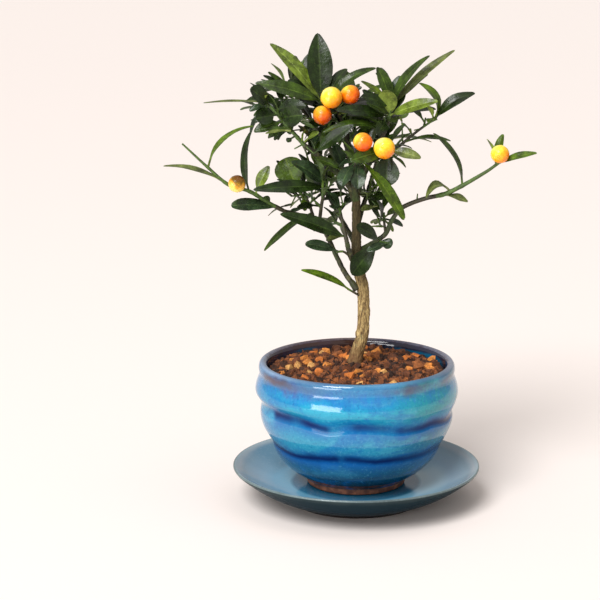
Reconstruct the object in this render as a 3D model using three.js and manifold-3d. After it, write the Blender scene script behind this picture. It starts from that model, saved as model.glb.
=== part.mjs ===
// A Hong Kong kumquat grown as a small bonsai, in a glazed bowl that stands on its saucer.
// Millimetres, +Z up. The origin is at the middle of the saucer's flat underside.
// +X is to the right as the tree is shown and +Y is away, behind it.
import * as THREE from 'three';
import { mergeVertices } from 'three/addons/utils/BufferGeometryUtils.js';
import Module from 'manifold-3d';

const wasm = await Module();
wasm.setup();

// Driving sizes

const seatGap = 0.3; // between pieces that rest on or grow from each other
const turns = 36; // facets round the saucer, bowl and soil

const saucer = {
  footRadius: 38,
  rimRadius: 72.2,
  rimHeight: 22,
  floorHeight: 10.7,
  floorRadius: 41,
  wall: 4.6,
};

const bowl = {
  base: saucer.floorHeight + seatGap,
  height: 73,
  footRadius: 28.6,
  footHeight: 4.2,
  footWall: 5.4,
  footHollow: 3,
  bellyRadius: 57.6,
  lipRadius: 56.3,
  wall: 5,
  drainRadius: 5,
};

const soil = {
  edgeHeight: 77.9,
  crownHeight: 80.7,
  flatRadius: 9.5, // round the trunk's foot
  heap: 0.8, // how steeply the bed rises, under 1 for a rounded heap
  rings: [43, 34, 25, 17],
  grain: 0.6,
};
// The larger grains of soil: raised is how far their middles stand over the bed, in radii.
const grains = { count: 100, seed: 47, smallest: 2, largest: 3.3, raised: 0.25 };

const leafShape = {
  ratio: 0.33, // width over length
  stalk: 3.6,
  stalkHalf: 0.55,
  rib: 0.34, // half the thickness at the midrib
  fold: 0.22, // how far the edges rise over the midrib, over the half width
  stations: [0, 0.08, 0.24, 0.44, 0.66, 0.86, 1],
  plainStations: [0, 0.12, 0.38, 0.7, 1], // of the leaves further in
};

const limbSides = 8;
const limbStep = 6; // between the rings of facets along a limb
const stemSides = 5;
const twigSides = 4;
const twigRadius = 0.7;
const twigEndRadius = 0.5;
const leafSeat = 1.6; // how far before a stem's end its last leaves are rooted

// How side twigs and their leaves grow. Lengths are shares of the mass's reach.
const growth = {
  firstTwig: 0.3, // share of the stem that stays bare
  twigTurn: 137.5, // degrees from one twig to the next round the stem
  twigForward: 0.55, // how far twigs lean along their stem
  twigRise: 0.25,
  twigLength: [0.25, 0.4],
  leafTurn: 144, // degrees from one leaf to the next round the twig
  leafPlaces: [0.45, 0.8], // where the side leaves stand along the twig
  endLeafPlace: 0.97,
  sideLean: 1.1,
  endLean: 0.25,
  leafRise: 0.2,
  leafLength: [0.75, 1],
  leafFace: [-20, 40],
  leafBow: 0.08,
  heart: 0.6, // share of the stem where the mass's own space has its middle
  space: 1.5, // radius of that space, over the reach
};

// Room that a new leaf or twig leaves round what already grows
const clearOfLimbs = 2.1;
const clearOfLeaves = 2.1;
const clearOfOtherMasses = 3.4;

// Vectors and curves

const up = new THREE.Vector3(0, 0, 1);
const toViewer = new THREE.Vector3(0, -1, 0);
const degrees = Math.PI / 180;

const point = ([x, y, z]) => new THREE.Vector3(x, y, z);
const route = (points) => new THREE.CatmullRomCurve3(points.map(point), false, 'catmullrom', 0.5);
const mix = (a, b, share) => a + (b - a) * share;

// The radius at a share of a limb's length, from radii given at even steps along it.
function taper(radii) {
  return (share) => {
    const place = share * (radii.length - 1);
    const first = Math.min(Math.floor(place), radii.length - 2);
    return mix(radii[first], radii[first + 1], place - first);
  };
}

// Two unit vectors square to an axis and to each other.
function squareTo(axis) {
  const helper = Math.abs(axis.y) < 0.9 ? new THREE.Vector3(0, 1, 0) : new THREE.Vector3(1, 0, 0);
  const across = new THREE.Vector3().crossVectors(axis, helper).normalize();
  return [across, new THREE.Vector3().crossVectors(axis, across).normalize()];
}

// Repeatable random numbers from 0 to 1.
function seeded(seed) {
  let state = seed;
  return () => {
    state = (state * 48271) % 2147483647;
    return state / 2147483647;
  };
}

// Solids

function solidOf(geometry) {
  const bare = geometry.clone();
  bare.deleteAttribute('normal');
  bare.deleteAttribute('uv');
  const merged = mergeVertices(bare, 1e-4);
  return new wasm.Manifold(
    new wasm.Mesh({
      numProp: 3,
      vertProperties: merged.attributes.position.array,
      triVerts: new Uint32Array(merged.index.array),
    }),
  );
}

function geometryOf(solid) {
  const mesh = solid.getMesh();
  return new THREE.BufferGeometry()
    .setAttribute('position', new THREE.BufferAttribute(mesh.vertProperties, 3))
    .setIndex(new THREE.BufferAttribute(mesh.triVerts, 1));
}

const joined = (solids) => wasm.Manifold.union(solids);

// The largest piece of a solid: what a cut leaves loose is dropped.
function largest(solid) {
  const pieces = solid.decompose();
  return pieces.reduce((a, b) => (b.volume() > a.volume() ? b : a));
}

// A closed round solid turned about Z from a profile of [radius, height] points.
function turned(profile) {
  const points = [...profile, profile[0]].map(([radius, height]) => new THREE.Vector2(radius, height));
  const onAxis = profile[0][0] === 0;
  const lathe = new THREE.LatheGeometry(onAxis ? points.slice(0, -1) : points, turns);
  return lathe.rotateX(Math.PI / 2);
}

// A tapering limb along a curve, closed at both ends. grow fattens and lengthens it all round.
function limb(curve, radiusAt, sides, steps, grow = 0) {
  const geometry = new THREE.CylinderGeometry(1, 1, 1, sides, steps);
  const frames = curve.computeFrenetFrames(steps, false);
  const place = geometry.attributes.position;
  for (let i = 0; i < place.count; i++) {
    const share = 0.5 - place.getY(i);
    const step = Math.round(share * steps);
    const angle = Math.atan2(place.getZ(i), place.getX(i));
    const onAxis = Math.hypot(place.getX(i), place.getZ(i)) < 0.5;
    const radius = onAxis ? 0 : radiusAt(share, angle) + grow;
    const endShift = step === 0 ? -grow : step === steps ? grow : 0;
    const centre = curve
      .getPointAt(share)
      .addScaledVector(frames.tangents[step], endShift)
      .addScaledVector(frames.normals[step], radius * Math.cos(angle))
      .addScaledVector(frames.binormals[step], radius * Math.sin(angle));
    place.setXYZ(i, centre.x, centre.y, centre.z);
  }
  const solid = solidOf(geometry);
  return solid.volume() > 0 ? solid : solidOf(flipped(geometry));
}

// The same geometry with its faces turned round.
function flipped(geometry) {
  const turnedRound = geometry.index ? geometry.toNonIndexed() : geometry.clone();
  const place = turnedRound.attributes.position;
  for (let i = 0; i < place.count; i += 3) {
    const [b, c] = [i + 1, i + 2].map((k) => new THREE.Vector3().fromBufferAttribute(place, k));
    place.setXYZ(i + 1, c.x, c.y, c.z);
    place.setXYZ(i + 2, b.x, b.y, b.z);
  }
  return turnedRound;
}

// Saucer, bowl and soil

function saucerSolid() {
  const { footRadius, rimRadius, rimHeight, floorHeight, floorRadius, wall } = saucer;
  const underside = [
    [0, 0],
    [footRadius - 1, 0],
    [footRadius, 0.8],
    [footRadius + 3, 2.6],
    [mix(footRadius, rimRadius, 0.5), mix(0, rimHeight, 0.36)],
    [mix(footRadius, rimRadius, 0.82), mix(0, rimHeight, 0.71)],
    [rimRadius - 0.6, rimHeight - 2],
  ];
  const rim = [
    [rimRadius, rimHeight - 0.9],
    [rimRadius - 0.7, rimHeight],
    [rimRadius - 2, rimHeight - 0.4],
  ];
  const inside = [
    [rimRadius - 0.82 * wall - 2.6, rimHeight - 3.6],
    [mix(floorRadius, rimRadius, 0.5), floorHeight + 3.3],
    [mix(floorRadius, rimRadius, 0.2), floorHeight + 0.7],
    [floorRadius, floorHeight],
    [0, floorHeight],
  ];
  return turned([...underside, ...rim, ...inside]);
}

// The bowl's outside, from the foot up, as [radius, height over the bowl's base].
// Two thrown grooves part it into three bands under the lip.
const lowerGroove = { height: 27.3, radius: 48.9 };
const upperGroove = { height: 47.8, radius: 54.3 };
const bowlOutside = [
  [bowl.footRadius - 0.8, 0],
  [bowl.footRadius, 0.9],
  [bowl.footRadius + 0.5, bowl.footHeight],
  [33, 6.4],
  [39, 10.2],
  [44.4, 15.4],
  [47.8, 21],
  [49.6, 25],
  [lowerGroove.radius, lowerGroove.height],
  [51.8, 29.8],
  [54.2, 35.5],
  [55.5, 41],
  [55.3, 45.2],
  [upperGroove.radius, upperGroove.height],
  [56.4, 50.4],
  [bowl.bellyRadius, 56],
  [bowl.bellyRadius - 0.4, 61.5],
  [bowl.lipRadius - 0.4, 66],
  [bowl.lipRadius, 69],
  [bowl.lipRadius - 0.5, 71.8],
  [bowl.lipRadius - 2.2, bowl.height],
  [bowl.lipRadius - 4.1, 72.2],
];

// The bowl's inside, from the lip down to its floor.
const bowlInside = [
  [bowl.lipRadius - 5, 69.6],
  [bowl.lipRadius - 5, 64],
  [bowl.bellyRadius - bowl.wall - 2, 50],
  [bowl.bellyRadius - bowl.wall - 4.6, 36],
  [43, 22],
  [34.5, 12],
  [22, 6.8],
  [bowl.drainRadius, 6.4],
];

// How far the grooves wander up and down round the bowl, at an angle and a height over its base.
function grooveDrift(angle, height) {
  const near = (centre, spread) => Math.exp(-(((height - centre) / spread) ** 2));
  const front = angle + Math.PI / 2;
  const upper = 1.3 * Math.cos(8 * front) - 2.6 * Math.cos(angle);
  const lower = 1.3 * Math.cos(6 * front) - 0.5 * Math.cos(angle);
  return upper * near(upperGroove.height, 6) + lower * near(lowerGroove.height, 5);
}

function bowlSolid() {
  const footInside = [
    [bowl.drainRadius, bowl.footHollow],
    [bowl.footRadius - bowl.footWall, bowl.footHollow],
    [bowl.footRadius - bowl.footWall + 0.6, 0],
  ];
  const geometry = turned([...bowlOutside, ...bowlInside, ...footInside]);
  const rows = bowlOutside.length + bowlInside.length + footInside.length + 1;
  const place = geometry.attributes.position;
  for (let i = 0; i < place.count; i++) {
    const outside = i % rows < bowlOutside.length;
    const angle = Math.atan2(place.getY(i), place.getX(i));
    const drift = outside ? grooveDrift(angle, place.getZ(i)) : 0;
    place.setZ(i, place.getZ(i) + drift + bowl.base);
  }
  return geometry;
}

// The bed of soil heaps up a little towards the trunk: its height at a distance from the middle.
const soilInset = seatGap + 0.1; // from the bowl's inner wall
const soilEdge = bowlInside[1][0] - soilInset;
function soilHeight(radius) {
  const share = Math.min(Math.max((soilEdge - radius) / (soilEdge - soil.flatRadius), 0), 1);
  return mix(soil.edgeHeight, soil.crownHeight, share ** soil.heap);
}

// The larger grains lie loose over the bed, clear of the trunk.
function grainSolids() {
  const random = seeded(grains.seed);
  return Array.from({ length: grains.count }, () => {
    const size = mix(grains.smallest, grains.largest, random());
    const nearest = (soil.flatRadius + size) / soilEdge;
    const radius = (soilEdge - size) * Math.sqrt(mix(nearest ** 2, 1, random()));
    const angle = random() * 2 * Math.PI;
    const grain = new THREE.IcosahedronGeometry(size, 0);
    grain.rotateX(random() * Math.PI).rotateZ(random() * Math.PI);
    const height = soilHeight(radius) + grains.raised * size;
    return solidOf(grain.translate(radius * Math.cos(angle), radius * Math.sin(angle), height));
  });
}

// The soil fills the bowl, with a rough top under its grains.
function soilSolid() {
  const side = bowlInside
    .slice(1)
    .reverse()
    .map(([radius, height]) => [radius - soilInset, height + bowl.base + soilInset]);
  const rings = [soilEdge - 0.6, ...soil.rings, soil.flatRadius];
  const top = rings.map((radius) => [radius, soilHeight(radius)]);
  const profile = [[0, side[0][1]], ...side, ...top, [0, soil.crownHeight]];
  const geometry = turned(profile);
  const rows = profile.length;
  const firstGrain = 1 + side.length + 1;
  const lastGrain = profile.length - 3;
  const random = seeded(31);
  const rise = Array.from({ length: turns * rows }, () => (random() - 0.5) * 2 * soil.grain);
  const place = geometry.attributes.position;
  for (let i = 0; i < place.count; i++) {
    const row = i % rows;
    const turn = Math.floor(i / rows) % turns;
    const grainy = row >= firstGrain && row <= lastGrain;
    if (grainy) place.setZ(i, place.getZ(i) + rise[turn * rows + row]);
  }
  return geometryOf(largest(joined([solidOf(geometry), ...grainSolids()])));
}

// Trunk and boughs

const trunk = {
  foot: soil.crownHeight + seatGap,
  path: [
    [-1.7, 0, 78],
    [0.3, 0, 89],
    [3.2, -1, 99],
    [3.8, -1, 110],
    [3.7, 0, 120],
    [3.2, 0, 128],
    [1.3, 1, 135],
    [-0.1, 2, 142],
    [-0.5, 2, 152],
    [-0.6, 1, 165],
    [-0.8, 0, 177],
    [-1.6, 0, 185],
  ],
  radii: [4.4, 4, 3.5, 3.4, 3.4, 3.4, 3.2, 3, 2.7, 2.5, 2.4, 2.4],
  flare: { height: 6, spread: 1.7, lobes: 3, turn: 0.4 },
};

// The trunk's radius, with surface roots that spread at its foot.
function trunkRadius(share, angle) {
  const { height, spread, lobes, turn } = trunk.flare;
  const rise = share * (trunk.path.at(-1)[2] - trunk.path[0][2]);
  const lobe = 0.5 + 0.5 * Math.cos(lobes * angle + turn);
  return taper(trunk.radii)(share) + spread * lobe * Math.exp(-((rise / height) ** 2) * 2);
}

// Each bough grows from the trunk or from another bough, and thins from its first radius to its last.
const boughs = {
  bough_low_left: {
    path: [[0, -1, 126], [-7, 0, 135.7], [-12.2, 1, 146], [-18, 2, 158.3], [-22, 3, 164.8]],
    radii: [2, 1.8, 1.5],
  },
  bough_left_arm: {
    path: [[-22, 3, 164.4], [-31.6, -3, 169.6], [-41.8, -9, 173.4]],
    radii: [1.35, 1.2],
  },
  bough_inner_left: {
    path: [[-0.6, 0, 141], [-3.6, -3, 145.5], [-5.2, -5, 150.6], [-6.3, -7, 156]],
    radii: [1.6, 1.5, 1.3],
  },
  bough_right: {
    path: [
      [0, 2, 147],
      [6.3, 5, 150.4],
      [12, 6, 153.7],
      [16.6, 6, 157.8],
      [19.9, 5, 165.6],
      [24.9, 3, 172.9],
    ],
    radii: [1.9, 1.7, 1.6, 1.4],
  },
  bough_leader: {
    path: [[-1.6, 0, 185], [-3.2, 4, 197.6], [-7.2, 6, 211.7]],
    radii: [2.2, 1.9, 1.5],
  },
  bough_upper_left: {
    path: [[-1, 0, 182], [-8.4, -3, 190.9], [-14.1, -5, 196.8], [-20.9, -7, 203.5], [-30.5, -8, 211]],
    radii: [1.9, 1.7, 1.4],
  },
  bough_upper_right: {
    path: [[-1, 0, 183], [5.4, 5, 196], [11.6, 6, 208.8]],
    radii: [1.9, 1.6, 1.4],
  },
  bough_far_right: {
    path: [[7.8, 5.5, 200], [17.4, 8, 203.3], [25.1, 8, 208.9]],
    radii: [1.2, 1, 0.9],
  },
  bough_front: {
    path: [[-1, 0, 178], [-2.6, -10, 191], [-3.7, -18, 201]],
    radii: [1.6, 1.4, 1.2],
  },
  bough_back: {
    path: [[-1, 0, 172], [-1, 13, 186], [-3, 25, 199]],
    radii: [1.8, 1.5, 1.3],
  },
  bough_back_left: {
    path: [[-1.4, 0, 179], [-12, 15, 199], [-24, 22, 217]],
    radii: [1.7, 1.4, 1.2],
  },
  bough_back_right: {
    path: [[-0.6, 1, 163], [6, 13, 180], [12, 24, 198]],
    radii: [1.6, 1.3, 1.1],
  },
  bough_back_low: {
    path: [[-0.4, 2, 151], [-7, 14, 161], [-15, 25, 173]],
    radii: [1.5, 1.2, 1],
  },
};

// Masses of foliage
//
// A leaf that shows is [share along its stem, [across, away, up] from its foot to its tip, and details]:
// face turns its upper side towards the front, in degrees, bow is the height of its arch over its
// length, wide is its width, and blunt is how far its end is rounded.
// A fruit hangs at [share, [across, away, up] to its middle, radius].
// The other leaves grow on side twigs by the seeded rule.
const masses = {
  foliage_top: {
    stem: [[-7.2, 6, 211.7], [-9.3, 7, 221.8], [-12.4, 6, 229], [-17, 6, 232.6], [-22.4, 7, 233.8]],
    radii: [1.3, 0.9],
    leaves: [
      [1, [-2, 12.3, 37.4], { wide: 15, bow: 0.03 }],
      [1, [-29, 12.3, 31.5], { face: 30, wide: 10 }],
      [0.98, [-37.2, -7.7, 11.5], { face: 60, wide: 9, bow: 0.1 }],
      [0.88, [-20.7, 10.7, 11.2], { face: 40, wide: 8 }],
      [0.83, [27.7, 3.9, 19.3], { face: 45, bow: 0.2, wide: 6 }],
      [0.7, [16.3, -3.9, 11.5], { face: 50, wide: 6 }],
      [0.5, [3.9, -10.5, 2.4], { face: 30, wide: 5 }],
    ],
    fruits: [
      [0.75, [0.2, -10, 5.5], 6.1],
      [0.6, [7.7, -4, 9.5], 5.6],
      [0.55, [-8.8, -8.3, -0.4], 5.4],
    ],
    grow: { seed: 331, twigs: 13, leaves: 2, reach: 26 },
  },
  foliage_upper_left: {
    stem: [[-30.5, -8, 211], [-38.4, -7, 219.9], [-46.2, -6, 228.9], [-53.5, -5, 236.1]],
    radii: [1.2, 0.8],
    leaves: [
      [1, [-34.6, -5.8, 0.2], { face: 10, wide: 4, bow: 0.02 }],
      [0.85, [-10.8, -10.5, 11.1], { face: 70, wide: 12, blunt: 0.4 }],
      [0.65, [-12.8, -7.9, -1.1], { face: 55, wide: 11, blunt: 0.4 }],
      [0.6, [12.8, -15.7, 3.6], { face: 90, wide: 12, bow: 0.08, blunt: 0.7 }],
      [0.5, [-16.9, -3.4, -5.1], { face: 40, wide: 8 }],
      [0.42, [-10.9, 2.8, -7.4], { face: 40, wide: 7 }],
      [0.75, [18, -8.2, 3.7], { face: 50, wide: 10 }],
      [0.2, [-5.1, -2.6, -3.1], { face: 30, wide: 4 }],
    ],
    grow: { seed: 85, twigs: 11, leaves: 2, reach: 22 },
  },
  foliage_upper_right: {
    stem: [[11.6, 6, 208.8], [16.1, 6, 218.5], [17.7, 5, 225.5], [19.3, 5, 232.4]],
    radii: [1.3, 0.9],
    leaves: [
      [0.7, [-30.2, -13, 5.7], { face: 50, wide: 8 }],
      [0.35, [-35.8, -16.1, 1.4], { face: 35, bow: 0.17, wide: 6 }],
      [0.75, [-13.7, -13, 8.4], { face: 60, wide: 7 }],
      [0.6, [-1.8, -11.4, 19.1], { wide: 11, bow: 0.12 }],
      [0.88, [21.6, -2.9, 30.7], { face: 40, bow: 0.12, wide: 7.5 }],
      [1, [35.9, 5, 31.5], { face: 35, bow: 0.06, wide: 6 }],
      [0.72, [26.9, -11, 10], { face: 55, wide: 8 }],
      [0.75, [26.9, 9, 1.9], { face: 35, wide: 6.5 }],
      [1, [-8.2, 4, 22], { face: 30, wide: 9 }],
      [1, [-17.2, 3, 14.2], { face: 30, wide: 5 }],
      [0.92, [-17.3, -7, 7.4], { face: 60, wide: 8 }],
      [1, [20.9, 8, 17.5], { face: 30, wide: 5 }],
    ],
    grow: { seed: 91, twigs: 14, leaves: 2, reach: 24 },
  },
  foliage_far_right: {
    stem: [[25.1, 8, 208.9], [32.7, 8, 215.4], [41, 7, 221.6], [44.9, 6, 223.7]],
    radii: [0.9, 0.6],
    leaves: [
      [0.08, [26.3, -4, 1.1], { face: 20, bow: 0.1, wide: 5 }],
      [1, [22.8, 0.6, 15.3], { face: 50, wide: 7.5, bow: 0.2 }],
      [1, [-9.2, -2.4, 21.4], { face: 45, bow: 0.28, wide: 8 }],
      [0.92, [-3.7, -4.5, 8.8], { wide: 4 }],
    ],
    grow: { seed: 220, twigs: 5, leaves: 2, reach: 16 },
  },
  foliage_front: {
    stem: [[-3.7, -18, 201], [3, -20, 206], [10, -19, 208.5], [18, -16, 209.5]],
    radii: [1.1, 0.8],
    leaves: [
      [0.85, [-19.6, -10.6, -3.9], { face: 60, wide: 9 }],
      [1, [-1.2, -4.4, -19.4], { face: 10, wide: 14.5, blunt: 0.8 }],
      [0.25, [24.3, -7.4, -33], { face: 30, bow: 0.06, wide: 8.5, blunt: 1 }],
      [0.08, [-7.4, -14.5, -10.1], { wide: 9, bow: 0.12, blunt: 0.7 }],
      [0.15, [0.2, -14, -12.9], { wide: 9, bow: 0.12, blunt: 0.7 }],
      [1, [18.2, -3.4, -3.8], { face: 50, wide: 7 }],
      [0.05, [-6.7, -3.7, 8.7], { wide: 10 }],
    ],
    fruits: [
      [0.35, [-1, -5, 9.3], 5.4],
      [0.8, [0.6, -8, 3], 6],
    ],
    grow: { seed: 431, twigs: 10, leaves: 2, reach: 18 },
  },
  foliage_left: {
    stem: [[-21.6, 3, 165.4], [-20.3, -2, 177.1], [-18.1, -6, 186.6], [-17, -8, 191.9]],
    radii: [1.1, 0.8],
    leaves: [
      [0.85, [-20, -9.5, 14.8], { face: 50, wide: 11 }],
      [0.8, [-40.9, -16, 1.3], { face: 55, wide: 8, bow: 0.05 }],
      [0.75, [6.5, -8.6, -8.6], { wide: 7, bow: 0.1 }],
    ],
    grow: { seed: 7, twigs: 10, leaves: 2, reach: 22 },
  },
  foliage_left_inner: {
    stem: [[-24.8, 1.4, 166.4], [-28.5, 4, 177], [-35, 4, 183.5]],
    radii: [1, 0.7],
    leaves: [
      [1, [-7.5, 5, 18.4], { face: 60, wide: 17, blunt: 0.8 }],
      [0.8, [1.9, -4.1, -9.1], { wide: 4.5 }],
      [0.2, [-27.3, -7.4, -20.8], { face: 25, wide: 6 }],
    ],
    grow: { seed: 118, twigs: 8, leaves: 2, reach: 20 },
  },
  foliage_left_arm: {
    stem: [
      [-41.8, -9, 173.4],
      [-50.7, -14, 179.2],
      [-61.3, -18, 186.4],
      [-72.5, -20, 190.2],
      [-84.1, -21, 200.3],
      [-98.4, -21, 213.8],
    ],
    radii: [1.15, 1.1, 1, 0.8, 0.5],
    leaves: [
      [0.56, [-34.2, 2.3, 8.6], { face: 20, bow: 0.09, wide: 5 }],
      [0.73, [25.8, 1, 23.2], { face: 25, bow: 0.2, wide: 5 }],
      [0.35, [1.1, 9, 32.6], { face: -40, bow: 0.12, wide: 6.5 }],
      [0.29, [7.6, 3.9, 15.6], { face: 40, wide: 7 }],
      [0.06, [-26.3, -11.1, 3.2], { face: 45, wide: 9, blunt: 1 }],
      [0.1, [-7, 2.2, 4.1], { face: 40, wide: 6 }],
    ],
    fruits: [[0.46, [1, -5.5, 3.2], 4.9]],
  },
  foliage_low_left: {
    stem: [[-6.3, -7, 156], [-7.9, -6, 162.6], [-9.8, -2, 170.8], [-11.5, 2, 178.6]],
    radii: [1.2, 0.8],
    leaves: [
      [0.08, [-37.3, -8.2, 14.9], { face: 55, wide: 9.5, bow: 0.05 }],
      [0.9, [-2.5, -4.9, -2.8], { wide: 7 }],
      [0.1, [-11.1, 4.8, -3.2], { face: 40, wide: 5 }],
    ],
    grow: { seed: 311, twigs: 7, leaves: 2, reach: 20 },
  },
  foliage_low_front: {
    stem: [[-4.2, -3.6, 146], [-8, -6, 149.3], [-12, -8, 149.5]],
    radii: [0.8, 0.6],
    leaves: [
      [0.95, [-19.4, -5.7, 5.6], { face: 50, wide: 7.5, blunt: 0.6 }],
    ],
  },
  foliage_lowest: {
    stem: [[0, -2, 123.5], [-3, -3, 125.5], [-5.5, -3.6, 127]],
    radii: [0.7, 0.6],
    leaves: [
      [0.8, [-28.1, -3.7, 12.6], { face: 35, bow: 0.08, wide: 6 }],
    ],
  },
  foliage_right_arm: {
    stem: [
      [24.9, 3, 172.9],
      [31, 0, 176.4],
      [39.3, -3, 179.8],
      [49.3, -6, 182.7],
      [57.6, -8, 187.1],
      [65.9, -9, 192.1],
      [73.6, -10, 197.1],
      [78.9, -10, 201.1],
    ],
    radii: [1.35, 1.3, 1.3, 1.1, 0.8],
    leaves: [
      [0.62, [-17.1, 0.2, 29.9], { face: 25, bow: 0.13, wide: 7 }],
      [0.5, [-14.2, -3.1, -3.1], { bow: 0.45, face: 20, wide: 8 }],
      [0.42, [14.1, -3.4, -3.6], { face: 25, wide: 6 }],
      [0.98, [-5.7, -2, 14.9], { wide: 5.5 }],
      [1, [3.9, 5, 16.6], { wide: 6 }],
      [1, [22.7, -1, 6.8], { face: 35, wide: 5.5 }],
    ],
    fruits: [[1, [1.7, -2.5, 6.4], 5.3]],
  },
  foliage_low_right: {
    stem: [[16.4, 6, 157.5], [15.6, 8, 163], [15.4, 10, 169]],
    radii: [0.9, 0.6],
    leaves: [
      [0.7, [11.1, 3.2, -4.9], { face: 40, wide: 5 }],
    ],
    grow: { seed: 138, twigs: 6, leaves: 2, reach: 18 },
  },
  foliage_right_front: {
    stem: [[12, 6, 153.7], [12.6, 2, 154.6], [13, -3, 154.4]],
    radii: [0.9, 0.7],
    leaves: [
      [0.95, [-14, -11.6, 10.5], { face: 60, wide: 10, blunt: 0.7 }],
      [1, [-16.2, -12.6, -17.1], { face: 60, wide: 12, bow: -0.2, blunt: 0.7 }],
      [1, [6.8, -2.6, -2.3], { face: 50, wide: 7, stalk: 1, blunt: 1 }],
    ],
  },
  foliage_trunk_right: {
    stem: [[-0.5, 1, 170], [4, 4, 176], [8, 8, 182]],
    radii: [1, 0.7],
    leaves: [
      [1, [5.3, -1.2, -17.9], { bow: 0.18, wide: 8 }],
      [0.7, [9.8, -9.6, 0.9], { face: 30, wide: 9 }],
    ],
    grow: { seed: 227, twigs: 8, leaves: 2, reach: 20 },
  },
  foliage_back: {
    stem: [[-3, 25, 199], [-5, 33, 210], [-7, 38, 221]],
    radii: [1.2, 0.8],
    leaves: [],
    grow: { seed: 120, twigs: 16, leaves: 3, reach: 30 },
  },
  foliage_back_left: {
    stem: [[-24, 22, 217], [-32, 25, 227], [-39, 25, 235]],
    radii: [1.1, 0.7],
    leaves: [
      [1, [7.4, 1, 20.9], { face: 40, wide: 5 }],
      [1, [-13.2, -1, 14.3], { face: 40, wide: 5 }],
    ],
    grow: { seed: 463, twigs: 14, leaves: 3, reach: 27 },
  },
  foliage_back_right: {
    stem: [[12, 24, 198], [15, 30, 210], [17, 33, 222]],
    radii: [1, 0.7],
    leaves: [],
    grow: { seed: 139, twigs: 16, leaves: 3, reach: 28 },
  },
  foliage_back_low: {
    stem: [[-15, 25, 173], [-21, 32, 182], [-25, 37, 192]],
    radii: [1, 0.7],
    leaves: [],
    grow: { seed: 295, twigs: 14, leaves: 3, reach: 27 },
  },
};

// Leaves

// The leaf's own lines: its foot, tip, the side it widens along and the way its upper face looks.
function leafLines(foot, reach, { face = 0, bow = 0.07, wide, stalk = leafShape.stalk, blunt = 0 } = {}) {
  const length = reach.length();
  const along = reach.clone().normalize();
  const highest = up.clone().addScaledVector(along, -up.dot(along)).normalize();
  const sideways = new THREE.Vector3().crossVectors(along, highest);
  if (sideways.dot(toViewer) < 0) sideways.negate();
  const turn = face * degrees;
  const upper = highest.multiplyScalar(Math.cos(turn)).addScaledVector(sideways, Math.sin(turn));
  const side = new THREE.Vector3().crossVectors(along, upper).normalize();
  const tip = foot.clone().add(reach);
  const crest = foot.clone().lerp(tip, 0.5).addScaledVector(upper, 2 * bow * length);
  const middle = new THREE.QuadraticBezierCurve3(foot, crest, tip);
  const halfWidth = (wide ?? length * leafShape.ratio) / 2;
  return { middle, side, length, halfWidth, stalk: stalk / length, blunt };
}

function leafHalfWidth(lines, share) {
  if (share <= lines.stalk) return leafShape.stalkHalf;
  const blade = (share - lines.stalk) / (1 - lines.stalk);
  const widest = blade ** mix(0.88, 1.4, lines.blunt);
  const swell = Math.max(Math.sin(Math.PI * widest), 0) ** mix(0.8, 0.55, lines.blunt);
  return leafShape.stalkHalf + (lines.halfWidth - leafShape.stalkHalf) * swell;
}

// A thin closed blade with a folded section, bent out of a four-sided sphere: its poles are foot and tip.
function leafSolid(lines, stations) {
  const rows = stations.length - 1;
  const geometry = new THREE.SphereGeometry(1, 4, rows);
  const place = geometry.attributes.position;
  for (let i = 0; i < place.count; i++) {
    const share = stations[Math.floor(i / 5)];
    const corner = (i % 5) % 4;
    const spot = lines.middle.getPoint(share);
    const atPole = share === 0 || share === 1;
    const upper = new THREE.Vector3().crossVectors(lines.side, lines.middle.getTangent(share)).normalize();
    const half = leafHalfWidth(lines, share);
    const sideStep = atPole ? 0 : [-half, 0, half, 0][corner];
    const edgeRise = leafShape.fold * (half - leafShape.stalkHalf);
    const rib = leafShape.rib + 0.2 * (1 - share);
    const upStep = atPole ? 0 : [edgeRise, rib, edgeRise, -rib][corner];
    spot.addScaledVector(lines.side, sideStep).addScaledVector(upper, upStep);
    place.setXYZ(i, spot.x, spot.y, spot.z);
  }
  const solid = solidOf(geometry);
  return solid.volume() > 0 ? solid : solidOf(flipped(geometry));
}

// Where a leaf reaches, as points on its blade, to keep other leaves clear of it.
function leafReach(lines) {
  const spots = [];
  for (let share = 0.3; share < 1.01; share += 0.1) {
    const half = share > 0.99 ? 0 : leafHalfWidth(lines, share);
    for (const side of half > 1 ? [-half, 0, half] : [0]) {
      spots.push(lines.middle.getPoint(Math.min(share, 1)).addScaledVector(lines.side, side));
    }
  }
  return spots;
}

// Growing

const taken = []; // { spot, radius, mass, leaf }: what is already in the crown

function take(spots, radius, mass, leaf) {
  for (const spot of spots) taken.push({ spot, radius, mass, leaf });
}

function isClear(spots, mass) {
  return spots.every((spot) =>
    taken.every((other) => {
      const own = other.mass === mass;
      if (own && !other.leaf) return true;
      const room = !other.leaf ? clearOfLimbs : own ? clearOfLeaves : clearOfOtherMasses;
      return spot.distanceTo(other.spot) > other.radius + room;
    }),
  );
}

function takeLimb(curve, radiusAt, mass) {
  const steps = Math.max(2, Math.round(curve.getLength() / 3));
  for (let i = 0; i <= steps; i++) take([curve.getPointAt(i / steps)], radiusAt(i / steps, 0), mass, false);
}

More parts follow.
